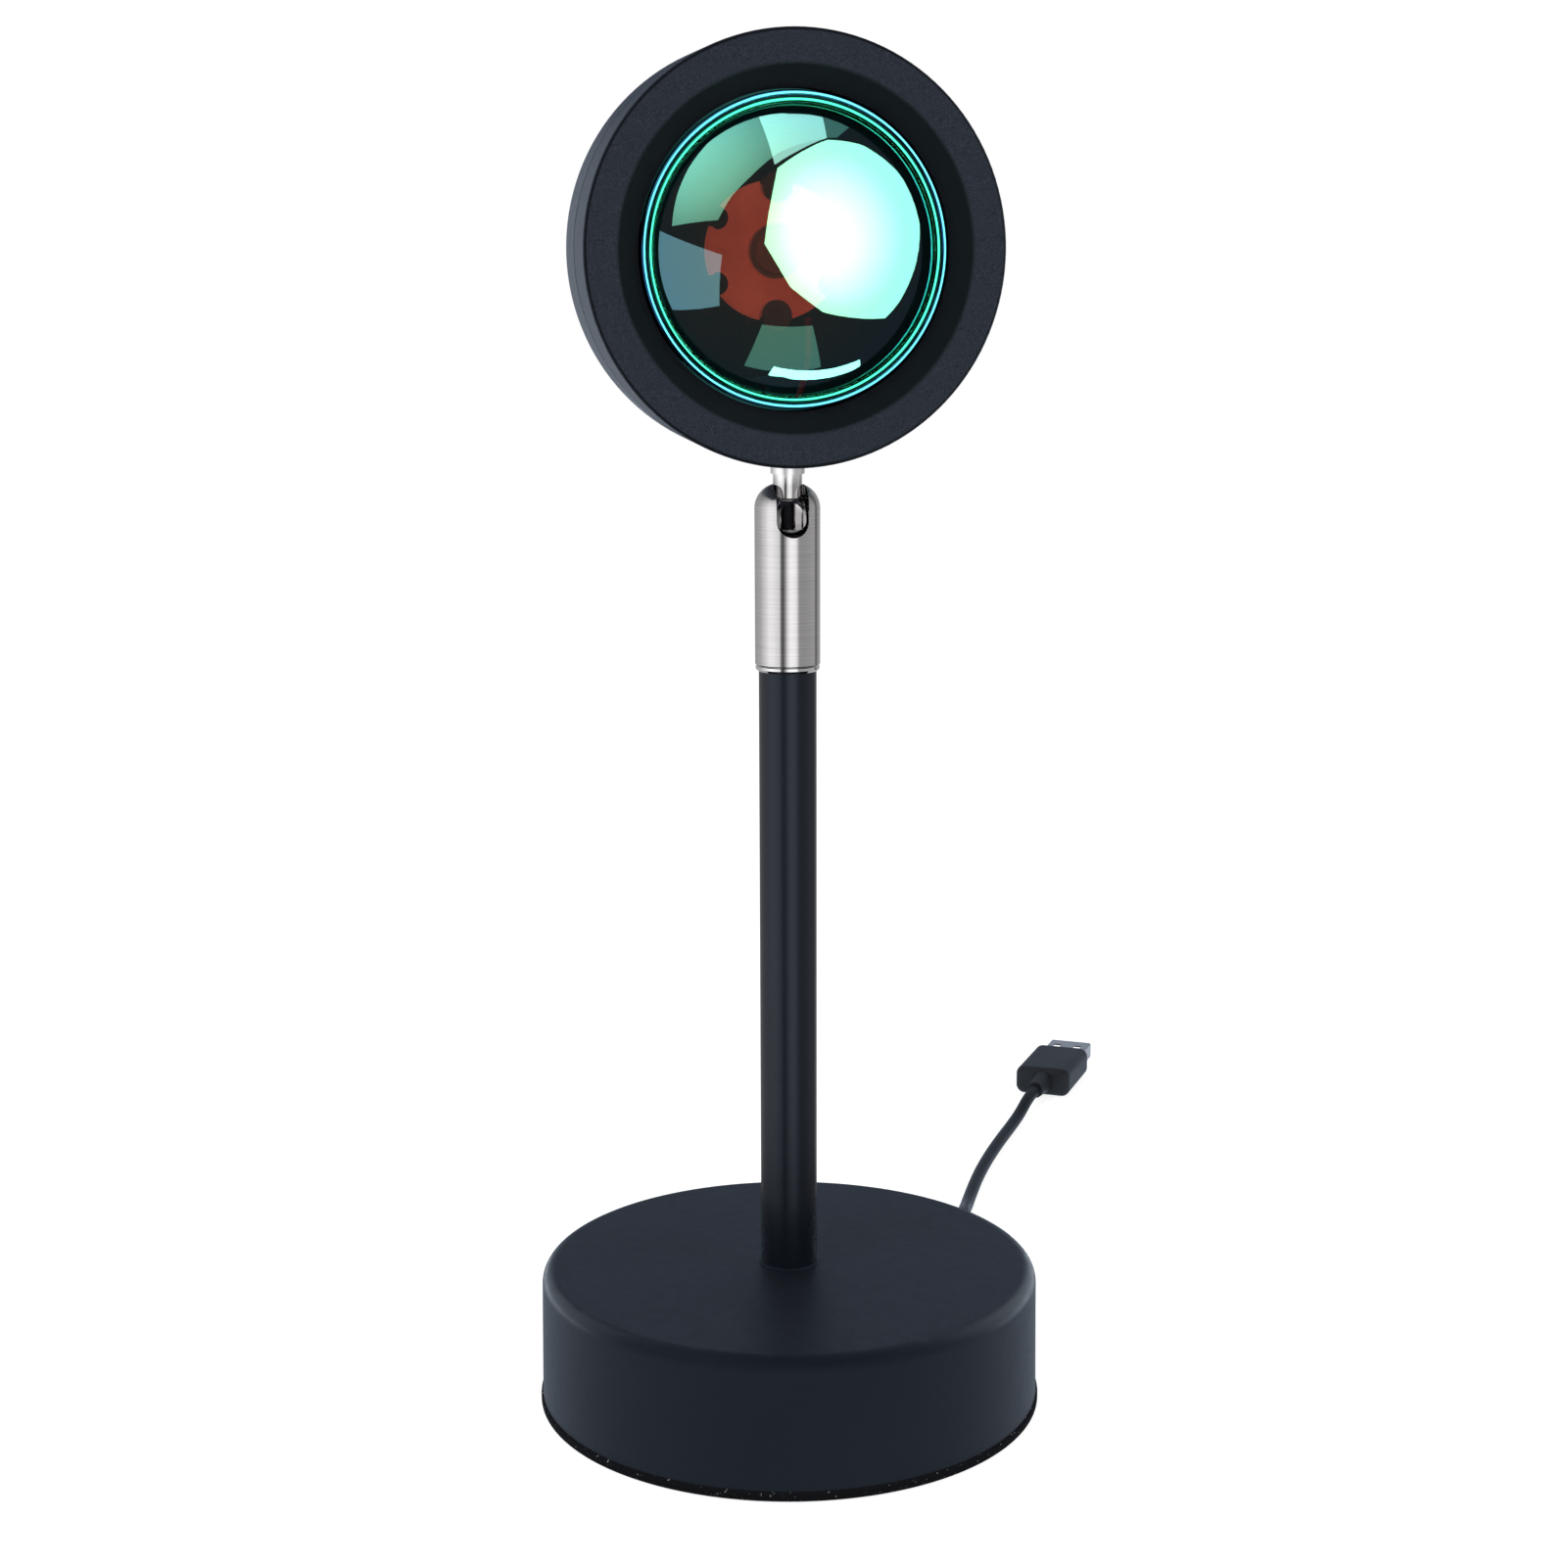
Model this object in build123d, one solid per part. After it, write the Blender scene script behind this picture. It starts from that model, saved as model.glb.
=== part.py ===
from build123d import *
import math
import os

# USB projection lamp: weighted round base, slim pole, slotted ball joint and a
# drum-shaped lamp head with a domed glass lens. Millimetres, +Z up, origin at
# the middle of the base's underside, lens facing -Y.

# Driving dimensions of the base
base_diameter = 100.0
base_height = 27.7
pad_thickness = 2.0
pad_overhang = 0.4
shell_wall = 1.2
shell_flare = 0.3
shell_top_fillet = 2.8
weight_thickness = 8.0
weight_clearance = 0.4
weight_hole_diameter = 22.0
weight_chamfer = 0.6
pad_fillet = 0.5
lead_exit_height = 7.5
lead_exit_azimuth = 46.4

# Driving dimensions of the pole
pole_diameter = 11.3
pole_wall = 1.0
pole_top_height = 148.7
nipple_insert = 18.0
nipple_drop = 10.6
nipple_wall = 2.0
pole_nut_across_flats = 14.0
pole_nut_thickness = 5.0
pole_washer_diameter = 18.0
pole_washer_thickness = 0.8

# Driving dimensions of the slotted ball joint
ring_diameter = 12.5
ring_height = 1.2
ring_chamfer = 0.45
sleeve_diameter = 12.72
sleeve_length = 34.9
sleeve_dome_radius = 4.8
swivel_gap = 0.2
ball_diameter = 10.3
ball_clearance = 0.2
ball_drop = 7.0
slot_width = 6.35
stem_diameter = 5.63
window_width = 4.4
window_low = -1.5
window_high = 3.6
spigot_length = 10.0
bush_length = 5.0
bush_inset = 1.0
bush_wall = 0.9
groove_depth = 0.5
spigot_tip = 1.0
clip_thickness = 0.7
cup_length = 6.5
cup_drop = 4.0
cup_lead_room = 0.9
spring_wire = 0.9
spring_turns = 5

# Driving dimensions of the lamp head
head_diameter = 80.0
head_depth = 29.2
head_seam = 14.6
head_rise = 50.5
stem_setback = 9.1
rest_tilt = 2.4
rim_fillet = 0.8
seam_chamfer = 0.35
barrel_wall = 3.5
cap_wall = 1.9
cap_back = 2.0
cap_fillet = 1.6
thread_length = 6.0
recess_diameter = 67.6
recess_floor_diameter = 59.8
recess_depth = 3.0
lip_thickness = 1.5
lens_diameter = 62.0
lens_dome_diameter = 53.6
lens_dome_height = 10.9
lens_beads = 2
lens_bead_radius = 0.55
lens_bead_spacing = 1.2
lens_bead_rise = 2.1
lens_edge = 2.6
gasket_thickness = 0.5
lens_ring_thickness = 1.4
lens_ring_width = 2.6
boss_wall = 1.2
collar_diameter = 6.6
collar_height = 1.3
stem_thread_diameter = 5.0
stem_thread_spare = 0.6
neck_washer_diameter = 8.6
neck_washer_thickness = 0.7
neck_nut_across_flats = 7.5
neck_nut_thickness = 2.0
heatsink_diameter = 34.0
heatsink_height = 6.0
heatsink_groove = 1.6
heatsink_grooves = 2
heatsink_core_margin = 2.0
board_diameter = 20.0
board_thickness = 1.6
board_scallops = 6
scallop_diameter = 3.4
emitter_diameter = 8.0
emitter_height = 2.4
emitter_foot = 0.96
emitter_lip = 0.7
board_screw_diameter = 2.6
board_screw_head = 4.6
board_screw_head_height = 1.4
board_screw_length = 4.0
board_screw_inset = 0.6
head_lead_diameter = 1.1

# Driving dimensions of the supply lead and its plug
lead_diameter = 3.2
inner_lead_diameter = 2.7
inner_lead_bend = 8.0
relief_length = 12.0
relief_root_diameter = 7.2
relief_tip_diameter = 4.4
relief_flange_diameter = 8.4
relief_flange_thickness = 1.8
relief_neck_step = 0.5
relief_root_length = 2.0
relief_ribs = 4
relief_rib_depth = 0.45
coil_outer_radius = 23.5
coil_pitch = 3.75
coil_turns = 7
coil_lift = 1.4
coil_clearance = 3.6
coil_azimuth = 24.6
coil_start_azimuth = -13.4
coil_climb_half = 0.25
square_run = 4.0
tie_width = 5.0
tie_thickness = 0.9
plug_boot_length = 8.0
plug_body_length = 24.0
plug_body_width = 15.6
plug_body_height = 8.0
plug_corner = 2.4
plug_back_fillet = 1.8
plug_front_fillet = 0.6
boot_wall = 0.7
boot_step = 0.9
plug_heading = 31.2
plug_lead_run = 7.0
plug_shell_length = 12.0
plug_shell_width = 12.0
plug_shell_height = 4.5
plug_shell_wall = 0.35
plug_shell_corner = 0.6
latch_hole = 2.2
latch_reach = 6.6
tongue_height = 1.9
contact_width = 1.0
contact_height = 0.2
tongue_setback = 1.0
contact_setback = 1.5
contact_places = [-3.5, -1.0, 1.0, 3.5]

# Clearances
running_gap = 0.3
slip_fit = 0.1
lead_way_room = 0.6
stem_lead_room = 0.25
aperture_clearance = 0.4
neck_lead_inset = 0.5
lead_seat_gap = 0.05

# Sizes and places worked out from the driving dimensions
base_radius = base_diameter / 2
shell_foot_radius = base_radius + shell_flare
pad_radius = shell_foot_radius + pad_overhang
pole_radius = pole_diameter / 2
pole_bore = pole_radius - pole_wall
nipple_radius = pole_bore - slip_fit
ring_top = pole_top_height + ring_height
sleeve_foot = ring_top + swivel_gap
sleeve_top = sleeve_foot + sleeve_length
sleeve_radius = sleeve_diameter / 2
ball_radius = ball_diameter / 2
socket_radius = ball_radius + ball_clearance
ball_height = sleeve_top - ball_drop
stem_radius = stem_diameter / 2
head_radius = head_diameter / 2
barrel_bore = head_radius - barrel_wall
cap_bore = head_radius - cap_wall
lip_back = recess_depth + lip_thickness
lens_front = lip_back + gasket_thickness
lens_back = lens_front + lens_edge
bead_foot = lens_front - lens_bead_rise
bead_edge = lens_dome_diameter / 2 + lens_bead_spacing * (lens_beads - 1) + 2 * lens_bead_radius
board_back = head_depth - cap_back - heatsink_height
board_front = board_back - board_thickness
collar_top = head_rise - head_radius - running_gap
stem_top = head_rise - barrel_bore + neck_washer_thickness + neck_nut_thickness + stem_thread_spare
lead_radius = lead_diameter / 2

from_low = (Align.CENTER, Align.CENTER, Align.MIN)


def rod(radius, low, high):
    return Pos(0, 0, low) * Cylinder(radius, high - low, align=from_low)


def ring(outer, inner, low, high):
    return rod(outer, low, high) - rod(inner, low - 1, high + 1)


def turned(points):
    outline = Plane.XZ * make_face(Polyline(*points, close=True))
    return revolve(outline, Axis.Z)


def rounded_turn(points, corners):
    flat = make_face(Polyline(*points, close=True))
    for (x, y), radius in corners:
        corner = flat.vertices().sort_by_distance((x, y, 0))[0]
        flat = fillet(corner, radius)
    return revolve(Plane.XZ * flat, Axis.Z)


def hex_nut(across_flats, bore, low, high):
    hexagon = RegularPolygon(across_flats / 2, 6, major_radius=False)
    return Pos(0, 0, low) * extrude(hexagon, high - low) - rod(bore, low - 1, high + 1)


def save(shape, name):
    export_step(shape, "parts/" + name + ".step")


# A tube along straight runs joined by tangent arcs, each arc as large as its runs allow
def lead_tube(points, diameter, name):
    places = [Vector(*p) for p in points]
    runs = [b - a for a, b in zip(places, places[1:])]
    radii = []
    for before, after in zip(runs, runs[1:]):
        half_turn = math.radians(before.get_angle(after) / 2)
        radii.append(0.45 * min(before.length, after.length) / math.tan(half_turn))
    path = FilletPolyline(*places, radius=radii)
    start = Plane(places[0], z_dir=runs[0])
    tube = sweep(start * Circle(diameter / 2), path=path)
    share = tube.volume / (math.pi * diameter ** 2 / 4 * path.length)
    print(name, "length", round(path.length, 1), "volume share", round(share, 4))
    print("  least radius", round(min(radii), 1), "of", [round(r, 1) for r in radii])
    return tube


# Two tangent arcs between two places with given directions
def biarc(start, start_way, end, end_way):
    chord = end - start
    both = start_way + end_way
    a = 2 * (start_way.dot(end_way) - 1)
    b = -2 * chord.dot(both)
    c = chord.dot(chord)
    if abs(a) < 1e-9:
        reach = -c / b
    else:
        reach = (-b - math.sqrt(b * b - 4 * a * c)) / (2 * a)
    middle = (start + end + (start_way - end_way) * reach) / 2
    chord_way = (middle - start).normalized()
    middle_way = chord_way * (2 * chord_way.dot(start_way)) - start_way
    first = TangentArc(start, middle, tangent=start_way)
    second = TangentArc(middle, end, tangent=middle_way)
    return [first, second]


# A tube wound along a curve given by a formula, on biarcs of a quarter turn
def wound_tube(place, turns, diameter, lead_in, name):
    steps = round(turns * 4)
    small = 1e-4
    spots = [Vector(*place(i / 4)) for i in range(steps + 1)]
    ways = []
    for i in range(steps + 1):
        before = Vector(*place(max(i / 4 - small, 0)))
        after = Vector(*place(min(i / 4 + small, turns)))
        ways.append((after - before).normalized())
    edges = [Line(spots[0] - ways[0] * lead_in, spots[0])]
    for i in range(steps):
        edges += biarc(spots[i], ways[i], spots[i + 1], ways[i + 1])
    edges.append(Line(spots[-1], spots[-1] + ways[-1] * lead_in))
    path = Wire(edges)
    tube = sweep(Plane(spots[0] - ways[0] * lead_in, z_dir=ways[0]) * Circle(diameter / 2), path=path)
    samples = 48
    line = [Vector(*place(i / samples)) for i in range(round(turns * samples) + 1)]
    least = min(
        (line[i] - line[j]).length
        for i in range(len(line))
        for j in range(i + samples // 2, len(line))
    )
    share = tube.volume / (math.pi * diameter ** 2 / 4 * path.length)
    print(name, "length", round(path.length, 1), "volume share", round(share, 4))
    print("  least gap to itself", round(least - diameter, 2))
    return tube


os.makedirs("parts", exist_ok=True)

# Base shell: pressed steel cup, open below, with a hole for the nipple and one for the lead
exit_way = Vector(math.sin(math.radians(lead_exit_azimuth)), math.cos(math.radians(lead_exit_azimuth)), 0)
exit_plane = Plane((0, 0, lead_exit_height), z_dir=exit_way)
shell_ceiling = base_height - shell_wall
base_shell = rounded_turn(
    [
        (0, base_height),
        (base_radius, base_height),
        (shell_foot_radius, pad_thickness),
        (shell_foot_radius - shell_wall, pad_thickness),
        (base_radius - shell_wall, shell_ceiling),
        (0, shell_ceiling),
    ],
    [
        ((base_radius, base_height), shell_top_fillet),
        ((base_radius - shell_wall, shell_ceiling), shell_top_fillet - shell_wall),
    ],
)
relief_neck = relief_root_diameter / 2 - relief_neck_step
base_shell -= rod(nipple_radius + slip_fit, shell_ceiling - 1, base_height + 1)
base_shell -= exit_plane * rod(relief_neck + slip_fit, base_radius / 2, base_diameter)
save(base_shell, "base_shell")

# Cast weight, with a hole in its middle and a slot that lets the lead out
weight_radius = shell_foot_radius - shell_wall - weight_clearance
weight_top = pad_thickness + weight_thickness
base_weight = ring(weight_radius, weight_hole_diameter / 2, pad_thickness, weight_top)
slot_plane = Plane((0, 0, pad_thickness - 1), x_dir=exit_way, z_dir=(0, 0, 1))
slot_box = Box(
    base_diameter, relief_flange_diameter + 2 * running_gap, weight_thickness + 2,
    align=(Align.MIN, Align.CENTER, Align.MIN),
)
base_weight -= slot_plane * slot_box
base_weight = chamfer(base_weight.edges().group_by(Axis.Z)[-1], weight_chamfer)
save(base_weight, "base_weight")

# Foam pad under the base
base_pad = rod(pad_radius, 0, pad_thickness)
base_pad = fillet(base_pad.edges().group_by(Axis.Z)[-1], pad_fillet)
save(base_pad, "base_pad")

# Pole with its threaded nipple, washer and nut under the base's top
pole = ring(pole_radius, pole_bore, base_height, pole_top_height)
save(pole, "pole")
nipple_foot = base_height - nipple_drop
nipple_bore = nipple_radius - nipple_wall
save(ring(nipple_radius, nipple_bore, nipple_foot, base_height + nipple_insert), "pole_nipple")
washer_foot = shell_ceiling - pole_washer_thickness
pole_washer = ring(pole_washer_diameter / 2, nipple_radius + slip_fit, washer_foot, shell_ceiling)
save(pole_washer, "pole_washer")
pole_nut = hex_nut(
    pole_nut_across_flats, nipple_radius + slip_fit / 2,
    washer_foot - pole_nut_thickness, washer_foot,
)
save(pole_nut, "pole_nut")

# Coupling in the pole's top: polished ring with a spigot each way and a groove for its clip
lead_way_radius = inner_lead_diameter / 2 + lead_way_room
spigot_radius = socket_radius - bush_wall - slip_fit
bush_foot = sleeve_foot + bush_inset
bush_top = bush_foot + bush_length
groove_low = bush_top + running_gap
groove_high = groove_low + clip_thickness + slip_fit
groove_radius = spigot_radius - groove_depth
coupling_top = groove_high + spigot_tip
joint_coupling = turned(
    [
        (lead_way_radius, pole_top_height - spigot_length),
        (nipple_radius, pole_top_height - spigot_length),
        (nipple_radius, pole_top_height),
        (ring_diameter / 2 - ring_chamfer, pole_top_height),
        (ring_diameter / 2, pole_top_height + ring_chamfer),
        (ring_diameter / 2, ring_top - ring_chamfer / 2),
        (ring_diameter / 2 - ring_chamfer / 2, ring_top),
        (spigot_radius, ring_top),
        (spigot_radius, groove_low),
        (groove_radius, groove_low),
        (groove_radius, groove_high),
        (spigot_radius, groove_high),
        (spigot_radius, coupling_top),
        (lead_way_radius, coupling_top),
    ]
)
save(joint_coupling, "joint_coupling")
clip_radius = socket_radius - running_gap
clip_fit = slip_fit / 2
coupling_clip = ring(clip_radius, groove_radius + clip_fit, groove_low + clip_fit, groove_high - clip_fit)
clip_gap = Box(
    clip_radius * 2, groove_radius, clip_thickness * 4,
    align=(Align.MIN, Align.CENTER, Align.CENTER),
)
coupling_clip -= Pos(0, 0, groove_low) * clip_gap
save(coupling_clip, "coupling_clip")

# Slotted sleeve with a domed top; the ball sits in its round end
sleeve_outside = rounded_turn(
    [(0, sleeve_foot), (sleeve_radius, sleeve_foot), (sleeve_radius, sleeve_top), (0, sleeve_top)],
    [((sleeve_radius, sleeve_top), sleeve_dome_radius)],
)
ball_spot = Pos(0, 0, ball_height)
slot_reach = sleeve_diameter
slot_cut = ball_spot * Cylinder(slot_width / 2, slot_reach, align=from_low)
slot_cut += ball_spot * Box(slot_width, slot_reach, slot_reach, align=(Align.CENTER, Align.MAX, Align.MIN))
slot_cut += ball_spot * Rot(90, 0, 0) * Cylinder(slot_width / 2, slot_reach, align=from_low)
joint_sleeve = sleeve_outside - rod(socket_radius, sleeve_foot - 1, ball_height)
joint_sleeve -= ball_spot * Sphere(socket_radius)
joint_sleeve -= slot_cut
save(joint_sleeve, "joint_sleeve")
sleeve_bush = ring(socket_radius, spigot_radius + slip_fit, bush_foot, bush_top)
save(sleeve_bush, "sleeve_bush")

# Spring and friction cup that press the ball up into the sleeve
cup_top = ball_height - cup_drop
cup_foot = cup_top - cup_length
cup_bore = inner_lead_diameter / 2 + cup_lead_room
friction_cup = ring(socket_radius - slip_fit, cup_bore, cup_foot, cup_top)
friction_cup -= ball_spot * Sphere(socket_radius)
save(friction_cup, "friction_cup")
spring_foot = coupling_top + running_gap + spring_wire / 2
spring_top = cup_foot - spring_wire / 2 - slip_fit
spring_radius = socket_radius - running_gap - spring_wire / 2


def spring_place(t):
    turn = 2 * math.pi * t
    rise = spring_foot + (spring_top - spring_foot) * t / spring_turns
    return (spring_radius * math.cos(turn), spring_radius * math.sin(turn), rise)


joint_spring = wound_tube(spring_place, spring_turns, spring_wire, spring_wire / 4, "joint_spring")
save(joint_spring, "joint_spring")

# Everything above the ball is drawn upright about the ball's centre, then tilted to rest
tilted = Pos(0, 0, ball_height) * Rot(rest_tilt, 0, 0)
head_spot = Pos(0, -stem_setback, head_rise) * Rot(-90, 0, 0)

# Ball with its hollow stem, shoulder under the head, threaded end and arched window
stem_bore = inner_lead_diameter / 2 + stem_lead_room
stem_outline = turned(
    [
        (0, 0),
        (stem_radius, 0),
        (stem_radius, collar_top - collar_height),
        (collar_diameter / 2, collar_top - collar_height),
        (collar_diameter / 2, collar_top),
        (stem_thread_diameter / 2, collar_top),
        (stem_thread_diameter / 2, stem_top),
        (0, stem_top),
    ]
)
joint_ball = Sphere(ball_radius) + stem_outline
joint_ball -= rod(stem_bore, -ball_diameter, stem_top + 1)
arch_spring = window_high - window_width / 2
window = Pos(0, 0, window_low) * Box(
    window_width, ball_diameter, arch_spring - window_low,
    align=(Align.CENTER, Align.MAX, Align.MIN),
)
window += Pos(0, 0, arch_spring) * Rot(90, 0, 0) * Cylinder(window_width / 2, ball_diameter, align=from_low)
joint_ball -= window
save(tilted * joint_ball, "joint_ball")
neck_lead = rod(inner_lead_diameter / 2, neck_lead_inset - ball_radius, stem_top)
save(tilted * neck_lead, "neck_lead")

# Washer and nut that hold the head on the stem, inside the barrel
washer_half = neck_washer_diameter / 2
washer_low = head_rise - math.sqrt(barrel_bore ** 2 - washer_half ** 2) + running_gap
washer_high = washer_low + neck_washer_thickness
neck_washer = ring(washer_half, stem_thread_diameter / 2 + slip_fit, washer_low, washer_high)
save(tilted * neck_washer, "neck_washer")
neck_nut = hex_nut(
    neck_nut_across_flats, stem_thread_diameter / 2 + slip_fit / 2,
    washer_high, washer_high + neck_nut_thickness,
)
save(tilted * neck_nut, "neck_nut")

# Front barrel: wide flat rim, conical recess, lens seat inside and a spigot for the rear cap
boss_bore = lens_diameter / 2 + running_gap
boss_back = lens_back + lens_ring_thickness
thread_radius = cap_bore - slip_fit
aperture = bead_edge + aperture_clearance
front_barrel = rounded_turn(
    [
        (recess_diameter / 2, 0),
        (head_radius, 0),
        (head_radius, head_seam - seam_chamfer),
        (head_radius - seam_chamfer, head_seam),
        (thread_radius, head_seam),
        (thread_radius, head_seam + thread_length),
        (barrel_bore, head_seam + thread_length),
        (barrel_bore, lip_back),
        (boss_bore + boss_wall, lip_back),
        (boss_bore + boss_wall, boss_back),
        (boss_bore, boss_back),
        (boss_bore, lip_back),
        (aperture, lip_back),
        (aperture, recess_depth),
        (recess_floor_diameter / 2, recess_depth),
    ],
    [((head_radius, 0), rim_fillet)],
)
front_barrel = head_spot * front_barrel
front_barrel -= rod(stem_thread_diameter / 2 + running_gap, 0, head_rise / 2)
save(tilted * front_barrel, "front_barrel")

# Rear cap, screwed over the barrel's spigot
rear_cap = rounded_turn(
    [
        (head_radius - seam_chamfer, head_seam),
        (head_radius, head_seam + seam_chamfer),
        (head_radius, head_depth),
        (0, head_depth),
        (0, head_depth - cap_back),
        (cap_bore, head_depth - cap_back),
        (cap_bore, head_seam),
    ],
    [((head_radius, head_depth), cap_fillet)],
)
save(tilted * head_spot * rear_cap, "rear_cap")

# Domed glass lens with beads round its foot and a flat edge, the gasket before it and the ring behind
dome_half = lens_dome_diameter / 2
dome_radius = (dome_half ** 2 + lens_dome_height ** 2) / (2 * lens_dome_height)
dome_apex = bead_foot - lens_dome_height
dome_middle = dome_apex + dome_radius
half_angle = math.asin(dome_half / dome_radius) / 2
dome_curve = ThreePointArc(
    (0, dome_apex),
    (dome_radius * math.sin(half_angle), dome_middle - dome_radius * math.cos(half_angle)),
    (dome_half, bead_foot),
)
lens_edges = [dome_curve]
for i in range(lens_beads):
    inner = dome_half + lens_bead_spacing * i
    outer = inner + 2 * lens_bead_radius
    crest = (inner + lens_bead_radius, bead_foot - lens_bead_radius)
    lens_edges.append(ThreePointArc((inner, bead_foot), crest, (outer, bead_foot)))
    if i < lens_beads - 1:
        lens_edges.append(Line((outer, bead_foot), (inner + lens_bead_spacing, bead_foot)))
lens_edges.append(
    Polyline(
        (bead_edge, bead_foot),
        (bead_edge, lens_front),
        (lens_diameter / 2, lens_front),
        (lens_diameter / 2, lens_back),
        (0, lens_back),
        (0, dome_apex),
    )
)
lens = revolve(Plane.XZ * make_face(lens_edges), Axis.Z)
save(tilted * head_spot * lens, "lens")
lens_gasket = ring(lens_diameter / 2, aperture, lip_back, lens_front)
save(tilted * head_spot * lens_gasket, "lens_gasket")
ring_outside = boss_bore - slip_fit
lens_ring = ring(ring_outside, ring_outside - lens_ring_width, lens_back, boss_back)
save(tilted * head_spot * lens_ring, "lens_ring")

# Heat sink on the cap's back wall, with turned grooves
heatsink_foot = head_depth - cap_back
heatsink_core = board_diameter / 2 + heatsink_core_margin
led_heatsink = rod(heatsink_diameter / 2, board_back, heatsink_foot)
for i in range(heatsink_grooves):
    low = board_back + heatsink_groove * (2 * i + 1)
    led_heatsink -= ring(heatsink_diameter, heatsink_core, low, low + heatsink_groove)
screw_spread = board_diameter / 2 - board_screw_inset
screw_spots = [Rot(0, 0, 90 + 180 * i) * Pos(screw_spread, 0, 0) for i in range(2)]
screw_hole = board_screw_diameter / 2 + slip_fit
for spot in screw_spots:
    led_heatsink -= spot * rod(screw_hole, board_back - 1, board_back + board_screw_length)
save(tilted * head_spot * led_heatsink, "led_heatsink")

# Star-shaped light board with scalloped edge, its emitter and two screws
led_board = rod(board_diameter / 2, board_front, board_back)
for i in range(board_scallops):
    turn = Rot(0, 0, 90 + 360 / board_scallops * i)
    led_board -= turn * Pos(screw_spread, 0, 0) * rod(scallop_diameter / 2, board_front - 1, board_back + 1)
save(tilted * head_spot * led_board, "led_board")
led_emitter = rod(emitter_diameter / 2, board_front - emitter_foot, board_front)
cap_radius = emitter_diameter / 2 - emitter_lip
emitter_dome = Pos(0, 0, board_front - emitter_foot) * Sphere(cap_radius)
dome_slab = rod(emitter_diameter, board_front - emitter_height, board_front - emitter_foot)
led_emitter += emitter_dome & dome_slab
save(tilted * head_spot * led_emitter, "led_emitter")
screw = rod(board_screw_diameter / 2, board_front, board_back + board_screw_length - running_gap)
screw += rod(board_screw_head / 2, board_front - board_screw_head_height, board_front)
board_screws = [tilted * head_spot * spot * screw for spot in screw_spots]
save(Compound(children=[Part(s.wrapped) for s in board_screws]), "board_screws")

# Two thin leads inside the head, from the stem up to the light board
board_face = board_front - stem_setback
lead_seat = board_face - head_lead_diameter / 2 - lead_seat_gap
for side, name in ((1, "head_lead_red"), (-1, "head_lead_black")):
    route = [
        (side * 0.65, 0.85, stem_top + running_gap),
        (side * 0.9, 1.4, stem_top + 4.0),
        (side * 2.2, 3.2, stem_top + 8.6),
        (side * 3.8, lead_seat - 3.4, stem_top + 13.0),
        (side * 4.8, lead_seat - 0.8, stem_top + 17.2),
        (side * 5.0, lead_seat, stem_top + 20.6),
        (side * 4.9, lead_seat, stem_top + 23.6),
    ]
    save(tilted * lead_tube(route, head_lead_diameter, name), name)

# Inner lead from the strain relief to the middle of the base and up the pole
relief_root = shell_foot_radius + running_gap
relief_inner = base_radius - shell_wall - relief_flange_thickness - 2 * running_gap
relief_tip = relief_root + relief_length
inner_start = exit_way * relief_inner + Vector(0, 0, lead_exit_height)
inner_corner = Vector(0, 0, lead_exit_height)
inner_end = Vector(0, 0, cup_foot - running_gap)
inner_path = FilletPolyline(inner_start, inner_corner, inner_end, radius=inner_lead_bend)
inner_lead = sweep(exit_plane * Pos(0, 0, relief_inner) * Circle(inner_lead_diameter / 2), path=inner_path)
save(inner_lead, "inner_lead")

# Strain relief moulded on the lead: flange inside the wall, neck in its hole, ribbed taper outside
flange_back = relief_inner + relief_flange_thickness
rib_step = (relief_length - relief_root_length) / relief_ribs
ribs_start = relief_root + relief_root_length
relief_points = [
    (0, relief_inner),
    (relief_flange_diameter / 2, relief_inner),
    (relief_flange_diameter / 2, flange_back),
    (relief_neck, flange_back),
    (relief_neck, relief_root),
    (relief_root_diameter / 2, relief_root),
    (relief_root_diameter / 2, ribs_start),
]
for i in range(relief_ribs):
    low = ribs_start + i * rib_step
    share = (i + 1) / relief_ribs
    taper = relief_root_diameter / 2 + (relief_tip_diameter - relief_root_diameter) / 2 * share
    relief_points += [
        (taper - relief_rib_depth, low + rib_step * 0.1),
        (taper - relief_rib_depth, low + rib_step * 0.45),
        (taper, low + rib_step * 0.55),
        (taper, low + rib_step),
    ]
relief_points.append((0, relief_tip))
strain_relief = exit_plane * turned(relief_points)
save(strain_relief, "strain_relief")

# Supply lead outside the base: from the strain relief to the coil
relief_end = exit_way * relief_tip
coil_reach = base_radius + coil_outer_radius + coil_clearance
coil_bearing = math.radians(coil_azimuth)
coil_middle = Vector(math.sin(coil_bearing), math.cos(coil_bearing), 0) * coil_reach
coil_start_turn = math.radians(coil_start_azimuth)
coil_low = lead_radius + coil_lift
coil_high = coil_low + coil_pitch
coil_outward = Vector(math.cos(coil_start_turn), math.sin(coil_start_turn), 0)
coil_along = Vector(-math.sin(coil_start_turn), math.cos(coil_start_turn), 0)
coil_slope = coil_pitch / (2 * math.pi * coil_outer_radius)
coil_in_way = (coil_along - coil_outward * coil_slope).normalized()
coil_out_way = (coil_along + coil_outward * coil_slope).normalized()
coil_edge = coil_middle + coil_outward * coil_outer_radius
coil_entry = coil_edge - coil_in_way * lead_diameter + Vector(0, 0, coil_low)
relief_ahead = exit_way * (relief_tip + square_run)
coil_before = coil_entry - coil_in_way * square_run
lead_in_route = [
    (relief_end.X, relief_end.Y, lead_exit_height),
    (relief_ahead.X, relief_ahead.Y, lead_exit_height),
    (50.9, 50.0, 6.6),
    (52.5, 54.0, 4.1),
    (coil_before.X, coil_before.Y, coil_before.Z),
    (coil_entry.X, coil_entry.Y, coil_entry.Z),
]
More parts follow.
